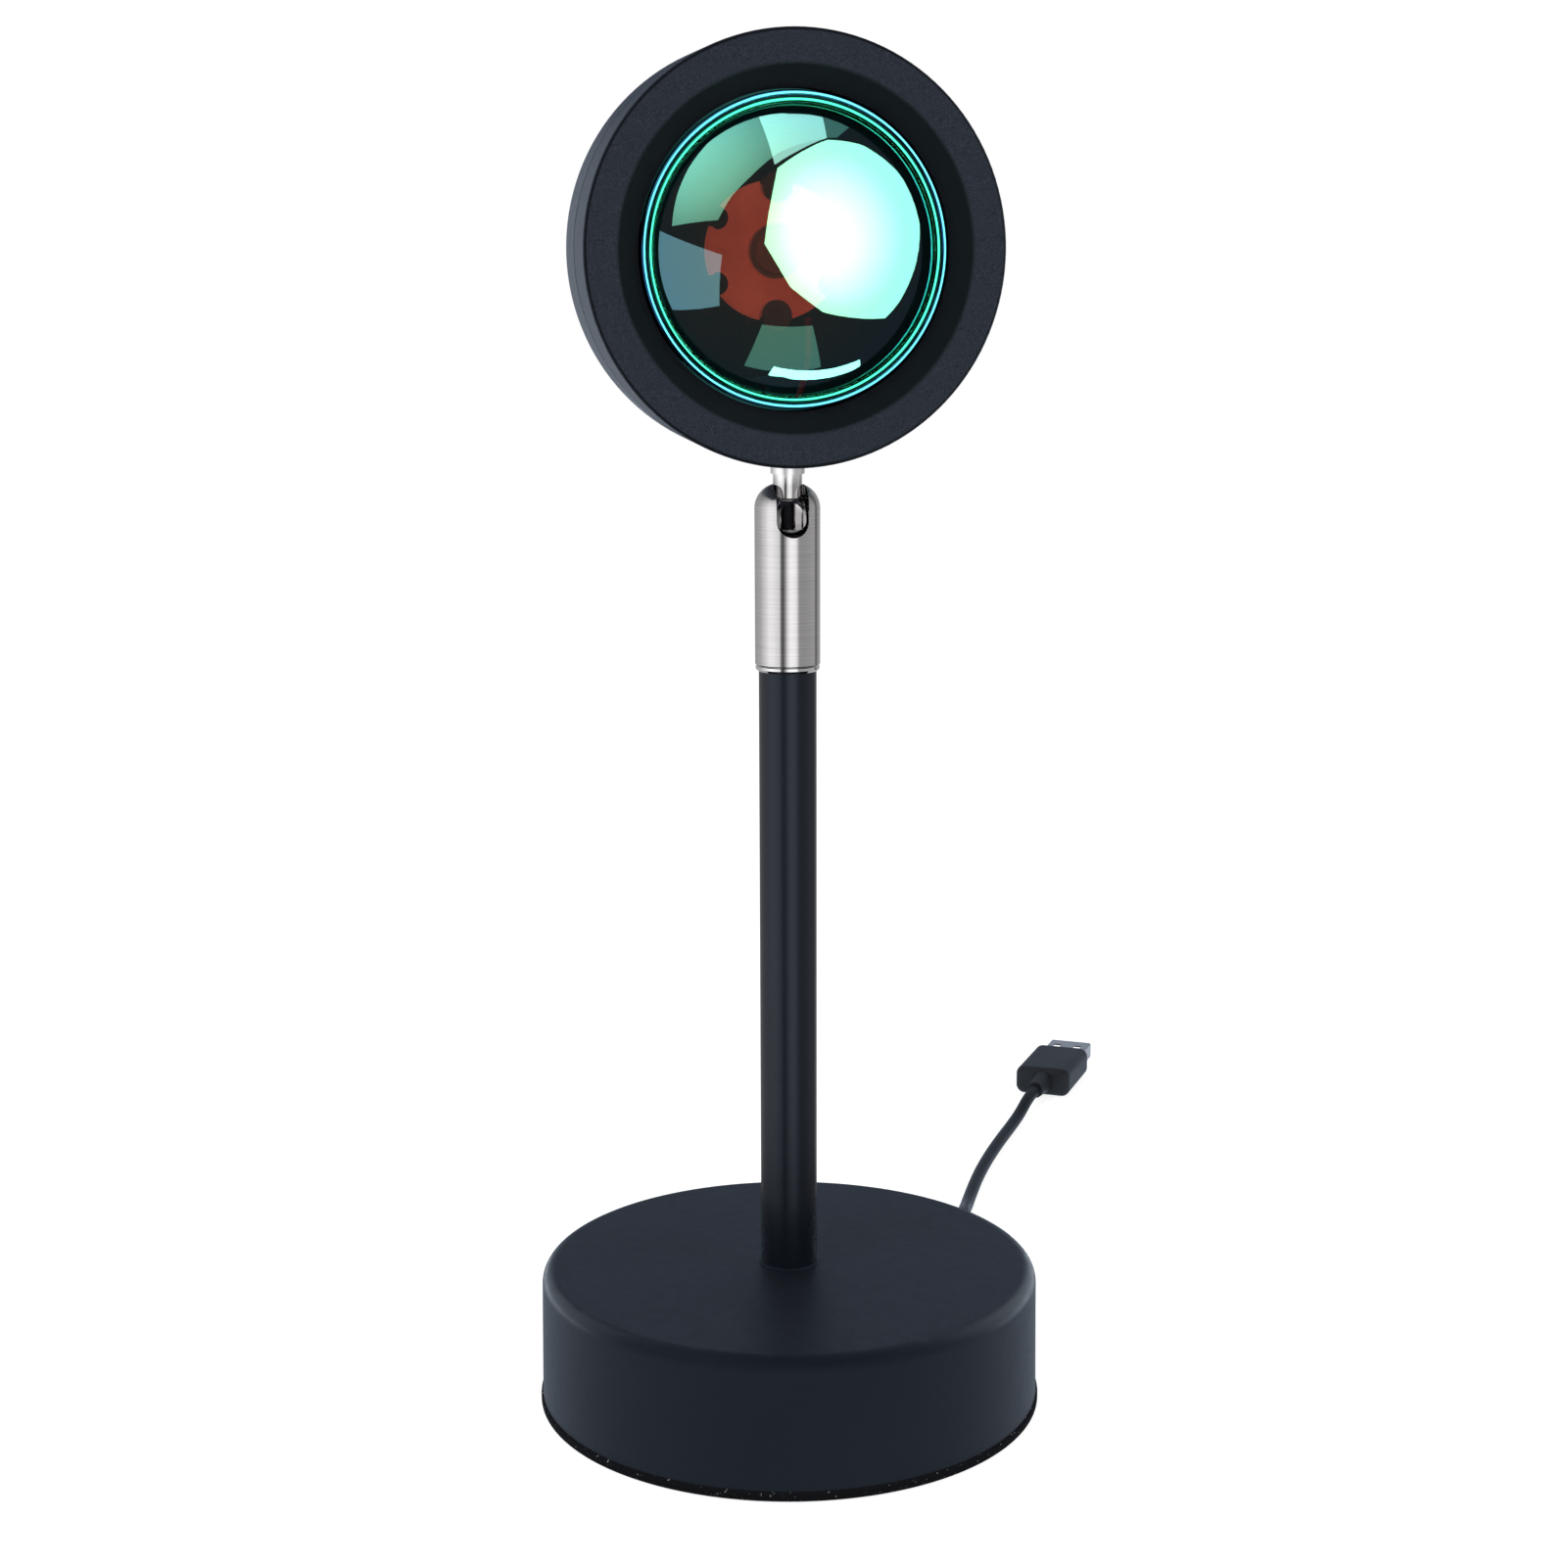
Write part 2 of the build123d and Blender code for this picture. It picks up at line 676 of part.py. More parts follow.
save(lead_tube(lead_in_route, lead_diameter, "cord_lead_in"), "cord_lead_in")

# Put-away coil: spirals in on the lower layer, climbs where it reverses, spirals out above
middle_turn = coil_turns / 2


def coil_place(t):
    past = t - middle_turn
    if abs(past) < coil_climb_half:
        from_middle = past ** 2 / (2 * coil_climb_half) + coil_climb_half / 2
        climb = (1 + math.sin(math.pi * past / (2 * coil_climb_half))) / 2
    else:
        from_middle = abs(past)
        climb = 0.0 if past < 0 else 1.0
    radius = coil_outer_radius - coil_pitch * (middle_turn - from_middle)
    turn = coil_start_turn + 2 * math.pi * t
    height = coil_low + (coil_high - coil_low) * climb
    return (coil_middle.X + radius * math.cos(turn), coil_middle.Y + radius * math.sin(turn), height)


cord_coil = wound_tube(coil_place, coil_turns, lead_diameter, lead_diameter, "cord_coil")
save(cord_coil, "cord_coil")

# Tie round the coil's turns
tie_room = lead_radius + running_gap
coil_inner_radius = coil_outer_radius - coil_pitch * (middle_turn - coil_climb_half / 2)
tie_inner = coil_inner_radius - tie_room - tie_width ** 2 / (8 * coil_inner_radius)
tie_outer = coil_outer_radius + tie_room
tie_low = coil_low - tie_room
tie_high = coil_high + tie_room
tie_middle = (tie_inner + tie_outer) / 2
tie_height = (tie_low + tie_high) / 2
tie_hole = RectangleRounded(tie_outer - tie_inner, tie_high - tie_low, tie_room)
tie_band = RectangleRounded(
    tie_outer - tie_inner + 2 * tie_thickness,
    tie_high - tie_low + 2 * tie_thickness,
    tie_room + tie_thickness,
)
tie_turn = math.degrees(coil_start_turn) + 180
tie_plane = Plane(coil_middle) * Rot(0, 0, tie_turn) * Pos(tie_middle, 0, tie_height) * Rot(90, 0, 0)
cord_tie = tie_plane * extrude(tie_band - tie_hole, tie_width / 2, both=True)
save(cord_tie, "cord_tie")

# Supply lead from the coil to the plug, lying on the table
coil_exit = coil_edge + coil_out_way * lead_diameter + Vector(0, 0, coil_high)
plug_height = plug_body_height / 2
plug_spot = Vector(105.9, 174.5, plug_height)
coil_ahead = coil_exit + coil_out_way * square_run
plug_way = Vector(math.sin(math.radians(plug_heading)), math.cos(math.radians(plug_heading)), 0)
plug_before = plug_spot - plug_way * plug_lead_run
tail_route = [
    (coil_exit.X, coil_exit.Y, coil_exit.Z),
    (coil_ahead.X, coil_ahead.Y, coil_ahead.Z),
    (58.4, 77.5, 6.0),
    (60.4, 84.0, 4.1),
    (62.9, 91.4, 2.2),
    (66.1, 99.7, lead_radius),
    (72.0, 113.5, lead_radius),
    (78.6, 127.1, lead_radius),
    (86.1, 141.0, lead_radius),
    (92.0, 151.3, lead_radius),
    (97.3, 160.2, 2.2),
    (plug_before.X, plug_before.Y, plug_before.Z),
    (plug_spot.X, plug_spot.Y, plug_spot.Z),
]
save(lead_tube(tail_route, lead_diameter, "cord_tail"), "cord_tail")

# Plug: moulded grip with a tapered boot, metal shell, tongue and four contacts
plug_plane = Plane(plug_spot, x_dir=(-plug_way.Y, plug_way.X, 0), z_dir=plug_way)
boot = turned(
    [
        (0, 0),
        (lead_radius + boot_wall, 0),
        (plug_body_height / 2 - boot_step, plug_boot_length),
        (0, plug_boot_length),
    ]
)
grip = extrude(RectangleRounded(plug_body_width, plug_body_height, plug_corner), plug_body_length)
grip = fillet(grip.edges().group_by(Axis.Z)[0], plug_back_fillet)
grip = fillet(grip.edges().group_by(Axis.Z)[-1], plug_front_fillet)
usb_grip = boot + Pos(0, 0, plug_boot_length) * grip
save(plug_plane * usb_grip, "usb_grip")
shell_foot = plug_boot_length + plug_body_length
shell_band = RectangleRounded(plug_shell_width, plug_shell_height, plug_shell_corner)
shell_room = RectangleRounded(
    plug_shell_width - 2 * plug_shell_wall,
    plug_shell_height - 2 * plug_shell_wall,
    plug_shell_corner - plug_shell_wall,
)
usb_shell = Pos(0, 0, shell_foot) * extrude(shell_band - shell_room, plug_shell_length)
for side in (-1, 1):
    hole = Box(latch_hole, plug_shell_height * 2, latch_hole)
    usb_shell -= Pos(side * plug_shell_width / 4, 0, shell_foot + latch_reach) * hole
save(plug_plane * usb_shell, "usb_shell")
tongue_low = plug_shell_wall + slip_fit - plug_shell_height / 2
tongue_length = plug_shell_length - tongue_setback
tongue_width = plug_shell_width - 2 * plug_shell_wall - 2 * slip_fit
tongue = Box(tongue_width, tongue_height, tongue_length, align=(Align.CENTER, Align.MIN, Align.MIN))
save(plug_plane * Pos(0, tongue_low, shell_foot) * tongue, "usb_tongue")
contact_length = tongue_length - contact_setback
contact = Box(contact_width, contact_height, contact_length, align=(Align.CENTER, Align.MIN, Align.MIN))
contact_low = tongue_low + tongue_height
contacts = [plug_plane * Pos(x, contact_low, shell_foot) * contact for x in contact_places]
save(Compound(children=[Part(c.wrapped) for c in contacts]), "usb_contacts")
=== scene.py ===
import math
import bpy
from mathutils import Matrix, Vector


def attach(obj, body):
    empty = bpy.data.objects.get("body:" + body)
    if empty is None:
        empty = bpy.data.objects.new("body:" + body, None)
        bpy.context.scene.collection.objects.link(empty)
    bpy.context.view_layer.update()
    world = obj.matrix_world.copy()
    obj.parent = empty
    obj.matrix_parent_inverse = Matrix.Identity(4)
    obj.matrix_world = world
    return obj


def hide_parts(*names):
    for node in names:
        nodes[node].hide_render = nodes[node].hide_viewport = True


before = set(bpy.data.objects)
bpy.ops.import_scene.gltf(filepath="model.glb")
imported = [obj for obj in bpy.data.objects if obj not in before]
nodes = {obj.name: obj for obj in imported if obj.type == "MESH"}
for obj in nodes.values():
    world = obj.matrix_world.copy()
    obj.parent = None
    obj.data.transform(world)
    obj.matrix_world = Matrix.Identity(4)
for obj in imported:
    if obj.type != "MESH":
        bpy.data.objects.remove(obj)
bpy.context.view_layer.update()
print("frame loaded,", len(nodes), "nodes")

mm = 0.001
smoothAngle = math.radians(40)
headSettings = {
    "ball": Vector((0, 0, 178.0)) * mm,
    "tilt": math.radians(2.4),
    "setback": 9.1 * mm,
    "rise": 50.5 * mm,
}
headTurn = Matrix.Rotation(headSettings["tilt"], 4, "X")
headFront = headSettings["ball"] + headTurn @ Vector((0, -headSettings["setback"], headSettings["rise"]))


# small helpers for selecting and for node trees

def startClean():
    if bpy.context.object and bpy.context.object.mode != "OBJECT":
        bpy.ops.object.mode_set(mode="OBJECT")
    bpy.ops.object.select_all(action="DESELECT")


def newFinish(name, colour, roughness, metallic=0.0):
    finish = bpy.data.materials.new(name)
    finish.use_nodes = True
    tree = finish.node_tree
    shader = tree.nodes["Principled BSDF"]
    shader.inputs["Base Color"].default_value = (*colour, 1)
    shader.inputs["Roughness"].default_value = roughness
    shader.inputs["Metallic"].default_value = metallic
    return finish, tree, shader


def onPiece(tree, stretch=(1, 1, 1), move=(0, 0, 0), turn=(0, 0, 0)):
    coords = tree.nodes.new("ShaderNodeTexCoord")
    mapping = tree.nodes.new("ShaderNodeMapping")
    mapping.inputs["Scale"].default_value = stretch
    mapping.inputs["Location"].default_value = move
    mapping.inputs["Rotation"].default_value = turn
    tree.links.new(coords.outputs["Object"], mapping.inputs["Vector"])
    return mapping.outputs["Vector"]


def splitUp(tree, place):
    split = tree.nodes.new("ShaderNodeSeparateXYZ")
    tree.links.new(place, split.inputs["Vector"])
    return split.outputs


def grain(tree, place, scale, detail=3.0, roughness=0.5):
    noise = tree.nodes.new("ShaderNodeTexNoise")
    noise.inputs["Scale"].default_value = scale
    noise.inputs["Detail"].default_value = detail
    noise.inputs["Roughness"].default_value = roughness
    tree.links.new(place, noise.inputs["Vector"])
    return noise.outputs["Fac"]


def specks(tree, place, scale):
    cells = tree.nodes.new("ShaderNodeTexVoronoi")
    cells.inputs["Scale"].default_value = scale
    tree.links.new(place, cells.inputs["Vector"])
    return cells.outputs["Distance"]


def tones(tree, factor, stops, target=None):
    ramp = tree.nodes.new("ShaderNodeValToRGB")
    marks = ramp.color_ramp.elements
    for i, (spot, colour) in enumerate(stops):
        mark = marks[i] if i < 2 else marks.new(spot)
        mark.position = spot
        mark.color = (*colour, 1)
    tree.links.new(factor, ramp.inputs["Fac"])
    if target is not None:
        tree.links.new(ramp.outputs["Color"], target)
    return ramp.outputs["Color"]


# a value between two ends, given again between two others
def along(tree, value, ends, gives=(0.0, 1.0), smooth=False):
    between = tree.nodes.new("ShaderNodeMapRange")
    between.interpolation_type = "SMOOTHSTEP" if smooth else "LINEAR"
    for side, end, given in zip(("Min", "Max"), ends, gives):
        between.inputs["From " + side].default_value = end
        between.inputs["To " + side].default_value = given
    tree.links.new(value, between.inputs["Value"])
    return between.outputs["Result"]


def spread(tree, factor, gives, target):
    tree.links.new(along(tree, factor, (0.0, 1.0), gives), target)


# a number is set on the socket, an output is linked to it
def feed(tree, value, socket):
    if isinstance(value, (int, float)):
        socket.default_value = value
    else:
        tree.links.new(value, socket)


def reckon(tree, operation, *values):
    step = tree.nodes.new("ShaderNodeMath")
    step.operation = operation
    for value, socket in zip(values, step.inputs):
        feed(tree, value, socket)
    return step.outputs["Value"]


def blend(tree, factor, first, second, kind="MIX"):
    mix = tree.nodes.new("ShaderNodeMix")
    mix.data_type = "RGBA"
    mix.blend_type = kind
    feed(tree, factor, mix.inputs["Factor"])
    tree.links.new(first, mix.inputs["A"])
    tree.links.new(second, mix.inputs["B"])
    return mix.outputs["Result"]


def relief(tree, shader, height, depth, strength, under=None):
    bump = tree.nodes.new("ShaderNodeBump")
    bump.inputs["Strength"].default_value = strength
    bump.inputs["Distance"].default_value = depth
    tree.links.new(height, bump.inputs["Height"])
    if under is not None:
        tree.links.new(under, bump.inputs["Normal"])
    tree.links.new(bump.outputs["Normal"], shader.inputs["Normal"])
    return bump.outputs["Normal"]


# distance from the head's own axis, which leans with the neck at rest
def fromHeadAxis(tree):
    turned = onPiece(tree, turn=(-headSettings["tilt"], 0, 0), move=-(headTurn.inverted() @ headFront))
    parts = splitUp(tree, turned)
    flat = tree.nodes.new("ShaderNodeCombineXYZ")
    for axis in ("X", "Z"):
        tree.links.new(parts[axis], flat.inputs[axis])
    out = tree.nodes.new("ShaderNodeVectorMath")
    out.operation = "LENGTH"
    tree.links.new(flat.outputs["Vector"], out.inputs[0])
    return out.outputs["Value"]


def dress(finish, *names):
    for name in names:
        mesh = nodes[name].data
        mesh.materials.clear()
        mesh.materials.append(finish)


# black coats of the base, pole and head

coatSettings = {
    "deep": (0.0046, 0.0060, 0.0094),
    "worn": (0.0064, 0.0081, 0.0120),
    "rough": (0.40, 0.50),
    "mirror": 0.40,
    "cool": (0.84, 0.92, 1.0),
    "cloudScale": 38,
    "peelScale": 520,
    "peelDepth": 0.00003,
    "sandScale": 4300,
    "sandDepth": 0.00009,
}
rimSettings = {
    "recessEdge": (33.3 * mm, 34.0 * mm),
    # painted shade line at the rim's outer edge, where the fillet turns away: radii of its fade in and out, and how
    # dark it goes
    "paintedShadeLine": (39.3 * mm, 39.5 * mm, 39.75 * mm, 39.95 * mm),
    "paintedShadeLevels": (1.0, 0.12, 0.12, 1.0),
    "edgeReach": 50 * mm,
    "rimTones": [(0.36, (0.0070, 0.0086, 0.0130)), (0.68, (0.0440, 0.0520, 0.0700))],
    # the recess's smooth coat, its tones darkened with painted shade where the recess falls into shadow
    "shadedRecessTones": [(0.3, (0.0026, 0.0028, 0.0044)), (0.8, (0.0040, 0.0044, 0.0064))],
    "recessCloud": 40,
    "paintedShadeMirror": 0.1,
    "recessToRimRough": (0.85, 0.52),
    "gritDepth": 0.00016,
    "gritStrength": 0.6,
}


def satinCoat(name, sand, ripple=0.25, smoother=0.0, cool=coatSettings["cool"]):
    s = coatSettings
    finish, tree, shader = newFinish(name, s["deep"], s["rough"][0])
    shader.inputs["Specular Tint"].default_value = (*cool, 1)
    shader.inputs["Specular IOR Level"].default_value = s["mirror"]
    place = onPiece(tree)
    cloud = grain(tree, place, s["cloudScale"], detail=5)
    tones(tree, cloud, [(0.3, s["deep"]), (0.75, s["worn"])], shader.inputs["Base Color"])
    peel = grain(tree, place, s["peelScale"], detail=2)
    spread(tree, peel, [level - smoother for level in s["rough"]], shader.inputs["Roughness"])
    fine = relief(tree, shader, peel, s["peelDepth"], ripple)
    grit = grain(tree, place, s["sandScale"], detail=2, roughness=0.7)
    relief(tree, shader, grit, s["sandDepth"], sand, fine)
    return finish


# the rim's sandy face stops where the smooth recess begins, whose darker tone is partly painted shade, and a painted
# shade line darkens the rim's outer edge, in colour and in mirror
def headCoat(name):
    s = rimSettings
    finish, tree, shader = newFinish(name, coatSettings["deep"], coatSettings["rough"][1])
    place = onPiece(tree)
    radius = fromHeadAxis(tree)
    onRim = along(tree, radius, s["recessEdge"])
    grit = grain(tree, place, coatSettings["sandScale"], detail=3, roughness=0.75)
    rim = tones(tree, grit, s["rimTones"])
    # recess tones, partly the smooth coat and partly painted shade
    recess = tones(tree, grain(tree, place, s["recessCloud"], detail=4), s["shadedRecessTones"])
    # painted shade line: darker colour and weaker mirror at the outer edge of the rim
    shades = [(r / s["edgeReach"], (shade,) * 3) for r, shade in zip(s["paintedShadeLine"], s["paintedShadeLevels"])]
    line = tones(tree, along(tree, radius, (0.0, s["edgeReach"])), shades)
    withPaintedShade = blend(tree, 1.0, blend(tree, onRim, recess, rim), line, "MULTIPLY")
    tree.links.new(withPaintedShade, shader.inputs["Base Color"])
    spread(tree, line, (s["paintedShadeMirror"], coatSettings["mirror"]), shader.inputs["Specular IOR Level"])
    spread(tree, onRim, s["recessToRimRough"], shader.inputs["Roughness"])
    relief(tree, shader, reckon(tree, "MULTIPLY", grit, onRim), s["gritDepth"], s["gritStrength"])
    return finish


dress(satinCoat("satinBlackCoat", sand=0.10), "base_shell")
dress(satinCoat("poleCoat", sand=0.01, ripple=0.04, smoother=0.16, cool=(0.72, 0.82, 1.0)), "pole")
dress(headCoat("sandedHeadCoat"), "front_barrel")
dress(satinCoat("fineBlackCoat", sand=0.35), "rear_cap")
print("black coats on")

# metals

brushSettings = {
    "colour": (0.60, 0.585, 0.575),
    "stroke": (60, 60, 9000),
    "tones": [(0.3, (0.53, 0.515, 0.525)), (0.72, (0.70, 0.685, 0.695))],
    "rough": (0.10, 0.19),
    "depth": 0.000009,
}
neckSettings = {
    "ballToStem": (184.5 * mm, 186.5 * mm),
    "ballGrey": (0.56, 0.55, 0.55),
    "stemPale": (0.93, 0.93, 0.94),
    "rough": (0.07, 0.34),
    "grainScale": 3000,
    "depth": 0.00001,
}
metalSettings = [
    {"name": "polishedChrome", "tones": ((0.70, 0.70, 0.71), (0.82, 0.82, 0.82)), "rough": (0.05, 0.12),
     "scale": 300, "pieces": ["joint_coupling"]},
    {"name": "zincPlate", "tones": ((0.52, 0.52, 0.49), (0.70, 0.70, 0.66)), "rough": (0.22, 0.40), "scale": 240,
     "pieces": ["pole_nipple", "pole_washer", "pole_nut", "neck_washer", "neck_nut", "coupling_clip", "board_screws"]},
    {"name": "plugSteel", "tones": ((0.66, 0.61, 0.56), (0.80, 0.75, 0.69)), "rough": (0.16, 0.28),
     "scale": 420, "pieces": ["usb_shell"]},
    {"name": "oiledSpring", "tones": ((0.28, 0.28, 0.28), (0.42, 0.42, 0.41)), "rough": (0.25, 0.42),
     "scale": 500, "pieces": ["joint_spring"]},
    {"name": "castIron", "tones": ((0.14, 0.14, 0.14), (0.24, 0.235, 0.23)), "rough": (0.5, 0.75),
     "scale": 260, "depth": 0.00015, "pieces": ["base_weight"]},
    {"name": "goldFlash", "tones": ((0.74, 0.55, 0.22), (0.88, 0.70, 0.34)), "rough": (0.16, 0.28),
     "scale": 500, "pieces": ["usb_contacts"]},
]


def brushedNickel():
    s = brushSettings
    finish, tree, shader = newFinish("brushedNickel", s["colour"], s["rough"][0], 1.0)
    strokes = grain(tree, onPiece(tree, s["stroke"]), 1.0, detail=4, roughness=0.65)
    tones(tree, strokes, s["tones"], shader.inputs["Base Color"])
    spread(tree, strokes, s["rough"], shader.inputs["Roughness"])
    relief(tree, shader, strokes, s["depth"], 0.35)
    return finish


def neckMetal():
    s = neckSettings
    finish, tree, shader = newFinish("neckChrome", s["stemPale"], s["rough"][0], 1.0)
    up = along(tree, splitUp(tree, onPiece(tree))["Z"], s["ballToStem"])
    tones(tree, up, [(0.0, s["ballGrey"]), (1.0, s["stemPale"])], shader.inputs["Base Color"])
    spread(tree, up, s["rough"], shader.inputs["Roughness"])
    relief(tree, shader, grain(tree, onPiece(tree), s["grainScale"], detail=2), s["depth"], 0.2)
    return finish


def plainMetal(s):
    dark, light = s["tones"]
    finish, tree, shader = newFinish(s["name"], dark, s["rough"][0], 1.0)
    place = onPiece(tree)
    cloud = grain(tree, place, s["scale"], detail=5, roughness=0.6)
    tones(tree, cloud, [(0.3, dark), (0.75, light)], shader.inputs["Base Color"])
    spread(tree, cloud, s["rough"], shader.inputs["Roughness"])
    relief(tree, shader, grain(tree, place, s["scale"] * 12, detail=2), s.get("depth", 0.00001), 0.2)
    return finish


dress(brushedNickel(), "joint_sleeve")
dress(neckMetal(), "joint_ball")
for metal in metalSettings:
    dress(plainMetal(metal), *metal["pieces"])
print("metals on")

# plastics, rubber and the light board, given a faint painted glow in place of the light that reaches it, so that it
# shows through the dark glass

plasticSettings = [
    {"name": "satinPlastic", "tones": ((0.014, 0.0145, 0.016), (0.022, 0.023, 0.025)), "rough": (0.38, 0.52),
     "pieces": ["usb_grip", "strain_relief", "sleeve_bush", "friction_cup"]},
    {"name": "leadSheath", "tones": ((0.007, 0.0075, 0.009), (0.012, 0.0125, 0.014)), "rough": (0.28, 0.42),
     "mirror": 0.2, "pieces": ["inner_lead"]},
    {"name": "blackAnodised", "tones": ((0.004, 0.0045, 0.0055), (0.009, 0.0095, 0.011)), "rough": (0.55, 0.7),
     "pieces": ["led_heatsink", "lens_ring"]},
    {"name": "sealRubber", "tones": ((0.010, 0.010, 0.010), (0.016, 0.016, 0.016)), "rough": (0.7, 0.85),
     "pieces": ["lens_gasket"]},
    {"name": "paleTongue", "tones": ((0.70, 0.70, 0.69), (0.82, 0.82, 0.81)), "rough": (0.3, 0.42),
     "pieces": ["usb_tongue"]},
    # the board carries a painted glow
    {"name": "starBoard", "tones": ((0.52, 0.12, 0.07), (0.90, 0.32, 0.20)), "rough": (0.32, 0.5), "scale": 700,
     "glow": 0.5, "pieces": ["led_board"]},
    {"name": "emitterLens", "tones": ((0.88, 0.78, 0.58), (0.95, 0.90, 0.78)), "rough": (0.12, 0.22), "scale": 400,
     "pieces": ["led_emitter"]},
]


def moulded(s):
    dark, light = s["tones"]
    scale = s.get("scale", 900)
    finish, tree, shader = newFinish(s["name"], dark, s["rough"][0])
    place = onPiece(tree)
    cloud = grain(tree, place, scale / 10, detail=4)
    colour = tones(tree, cloud, [(0.3, dark), (0.75, light)], shader.inputs["Base Color"])
    skin = grain(tree, place, scale, detail=2)
    spread(tree, skin, s["rough"], shader.inputs["Roughness"])
    relief(tree, shader, skin, s.get("depth", 0.00004), 0.3)
    if "mirror" in s:
        shader.inputs["Specular IOR Level"].default_value = s["mirror"]
    # painted glow: the board's own colour given off as light, standing in for light that reaches it through the glass
    if "glow" in s:
        tree.links.new(colour, shader.inputs["Emission Color"])
        shader.inputs["Emission Strength"].default_value = s["glow"]
    return finish


for plastic in plasticSettings:
    dress(moulded(plastic), *plastic["pieces"])
sheath = bpy.data.materials["leadSheath"]
print("plastics on")

# coated glass: mirrors green, passes red; on the two beads round the dome's foot, green and blue mirror rings with
# dark gaps are painted glints, standing in for the light the glass gathers there

glassSettings = {
    "passes": (0.60, 0.36, 0.29),
    "dusty": (0.52, 0.30, 0.24),
    "mirrors": (0.64, 1.0, 0.90),
    "rough": (0.0, 0.03),
    "dustScale": 900,
    "glassIndex": 1.4,
    "filmIndex": 2.4,
    "filmThickness": 162.0,
    "domeRadius": 26.8 * mm,
    "edgeRadius": 29.3 * mm,
    "glintStart": 0.001,
    "glintGapDark": (0.002, 0.010, 0.012),
    # painted glint rings on the beads: radius, half width, fade and colour of each coloured mirror ring
    "beads": [
        {"radius": 27.35 * mm, "half": 0.22 * mm, "fade": 1.6, "colour": (0.022, 0.36, 0.21)},
        {"radius": 28.55 * mm, "half": 0.40 * mm, "fade": 1.3, "colour": (0.040, 0.235, 0.37)},
    ],
}


# colour stops of the painted glint rings, with painted dark gaps around them
def paintedGlintStops():
    s = glassSettings
    span = s["edgeRadius"] - s["domeRadius"]
    stops = []
    for bead in s["beads"]:
        middle = (bead["radius"] - s["domeRadius"]) / span
        half = bead["half"] / span
        stops.append((middle - bead["fade"] * half, s["glintGapDark"]))
        stops.append((middle - half, bead["colour"]))
        stops.append((middle + half, bead["colour"]))
        stops.append((middle + bead["fade"] * half, s["glintGapDark"]))
    return stops


def coatedGlass():
    s = glassSettings
    finish, tree, shader = newFinish("coatedGlass", s["passes"], s["rough"][1])
    shader.inputs["Transmission Weight"].default_value = 1.0
    shader.inputs["IOR"].default_value = s["glassIndex"]
    shader.inputs["Specular Tint"].default_value = (*s["mirrors"], 1)
    shader.inputs["Thin Film IOR"].default_value = s["filmIndex"]
    shader.inputs["Thin Film Thickness"].default_value = s["filmThickness"]
    dust = grain(tree, onPiece(tree), s["dustScale"], detail=4, roughness=0.7)
    spread(tree, dust, s["rough"], shader.inputs["Roughness"])
    body = tones(tree, dust, [(0.3, s["passes"]), (0.8, s["dusty"])])
    # the painted glint rings turn the glass into coloured metal on the beads
    out = along(tree, fromHeadAxis(tree), (s["domeRadius"], s["edgeRadius"]))
    beads = tones(tree, out, paintedGlintStops())
    onGlintRing = reckon(tree, "GREATER_THAN", out, s["glintStart"])
    tree.links.new(blend(tree, onGlintRing, body, beads), shader.inputs["Base Color"])
    tree.links.new(onGlintRing, shader.inputs["Metallic"])
    return finish


dress(coatedGlass(), "lens")
print("glass on")

# foam pad under the base, its rim slightly rounded

padSettings = {
    "radius": 50.7 * mm,
    "thickness": 2.0 * mm,
    "round": 0.55 * mm,
    "roundSteps": 5,
    "sides": 192,
    "flat": 0.9,
    "colour": (0.012, 0.012, 0.013),
    "rough": (0.75, 0.95),
    "mirror": 0.12,
    "cellScale": 1500,
    "poreScale": 2400,
    "speckScale": 1250,
    "speckTones": [(0.66, (0.007, 0.007, 0.008)), (0.72, (0.30, 0.29, 0.28))],
    "depth": 0.0002,
    "strength": 0.5,
}


def foamFinish():
    s = padSettings
    finish, tree, shader = newFinish("closedFoam", s["colour"], s["rough"][0])
    place = onPiece(tree)
    shader.inputs["Specular IOR Level"].default_value = s["mirror"]
    cells = specks(tree, place, s["cellScale"])
    pores = grain(tree, place, s["poreScale"], detail=3, roughness=0.7)
    dots = grain(tree, place, s["speckScale"], detail=2, roughness=0.8)
    tones(tree, dots, s["speckTones"], shader.inputs["Base Color"])
    spread(tree, pores, s["rough"], shader.inputs["Roughness"])
    pits = relief(tree, shader, cells, s["depth"], s["strength"])
    relief(tree, shader, pores, s["depth"], s["strength"], pits)
    return finish


def makePad():
    startClean()
    s = padSettings
    bpy.ops.mesh.primitive_cylinder_add(vertices=s["sides"], radius=s["radius"], depth=s["thickness"],
                                        location=(0, 0, s["thickness"] / 2))
    pad = bpy.context.object
    pad.name = "foamPad"
    bpy.ops.object.transform_apply(location=True)
    bpy.ops.object.mode_set(mode="EDIT")
    bpy.ops.mesh.select_mode(type="FACE")
    bpy.ops.mesh.select_all(action="DESELECT")
    bpy.ops.object.mode_set(mode="OBJECT")
    for face in pad.data.polygons:
        face.select = abs(face.normal.z) > s["flat"]
    bpy.ops.object.mode_set(mode="EDIT")
    bpy.ops.mesh.region_to_loop()
    bpy.ops.mesh.bevel(offset=s["round"], segments=s["roundSteps"], affect="EDGES")
    bpy.ops.object.mode_set(mode="OBJECT")
    bpy.ops.object.shade_smooth_by_angle(angle=smoothAngle)
    pad.data.materials.append(foamFinish())
    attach(pad, "base")
    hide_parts("base_pad")


makePad()
print("foam pad made")

# bead of paint where the pole meets the base

beadSettings = {"poleRadius": 5.65 * mm, "height": 27.7 * mm, "thick": 0.42 * mm, "around": 96, "across": 16}


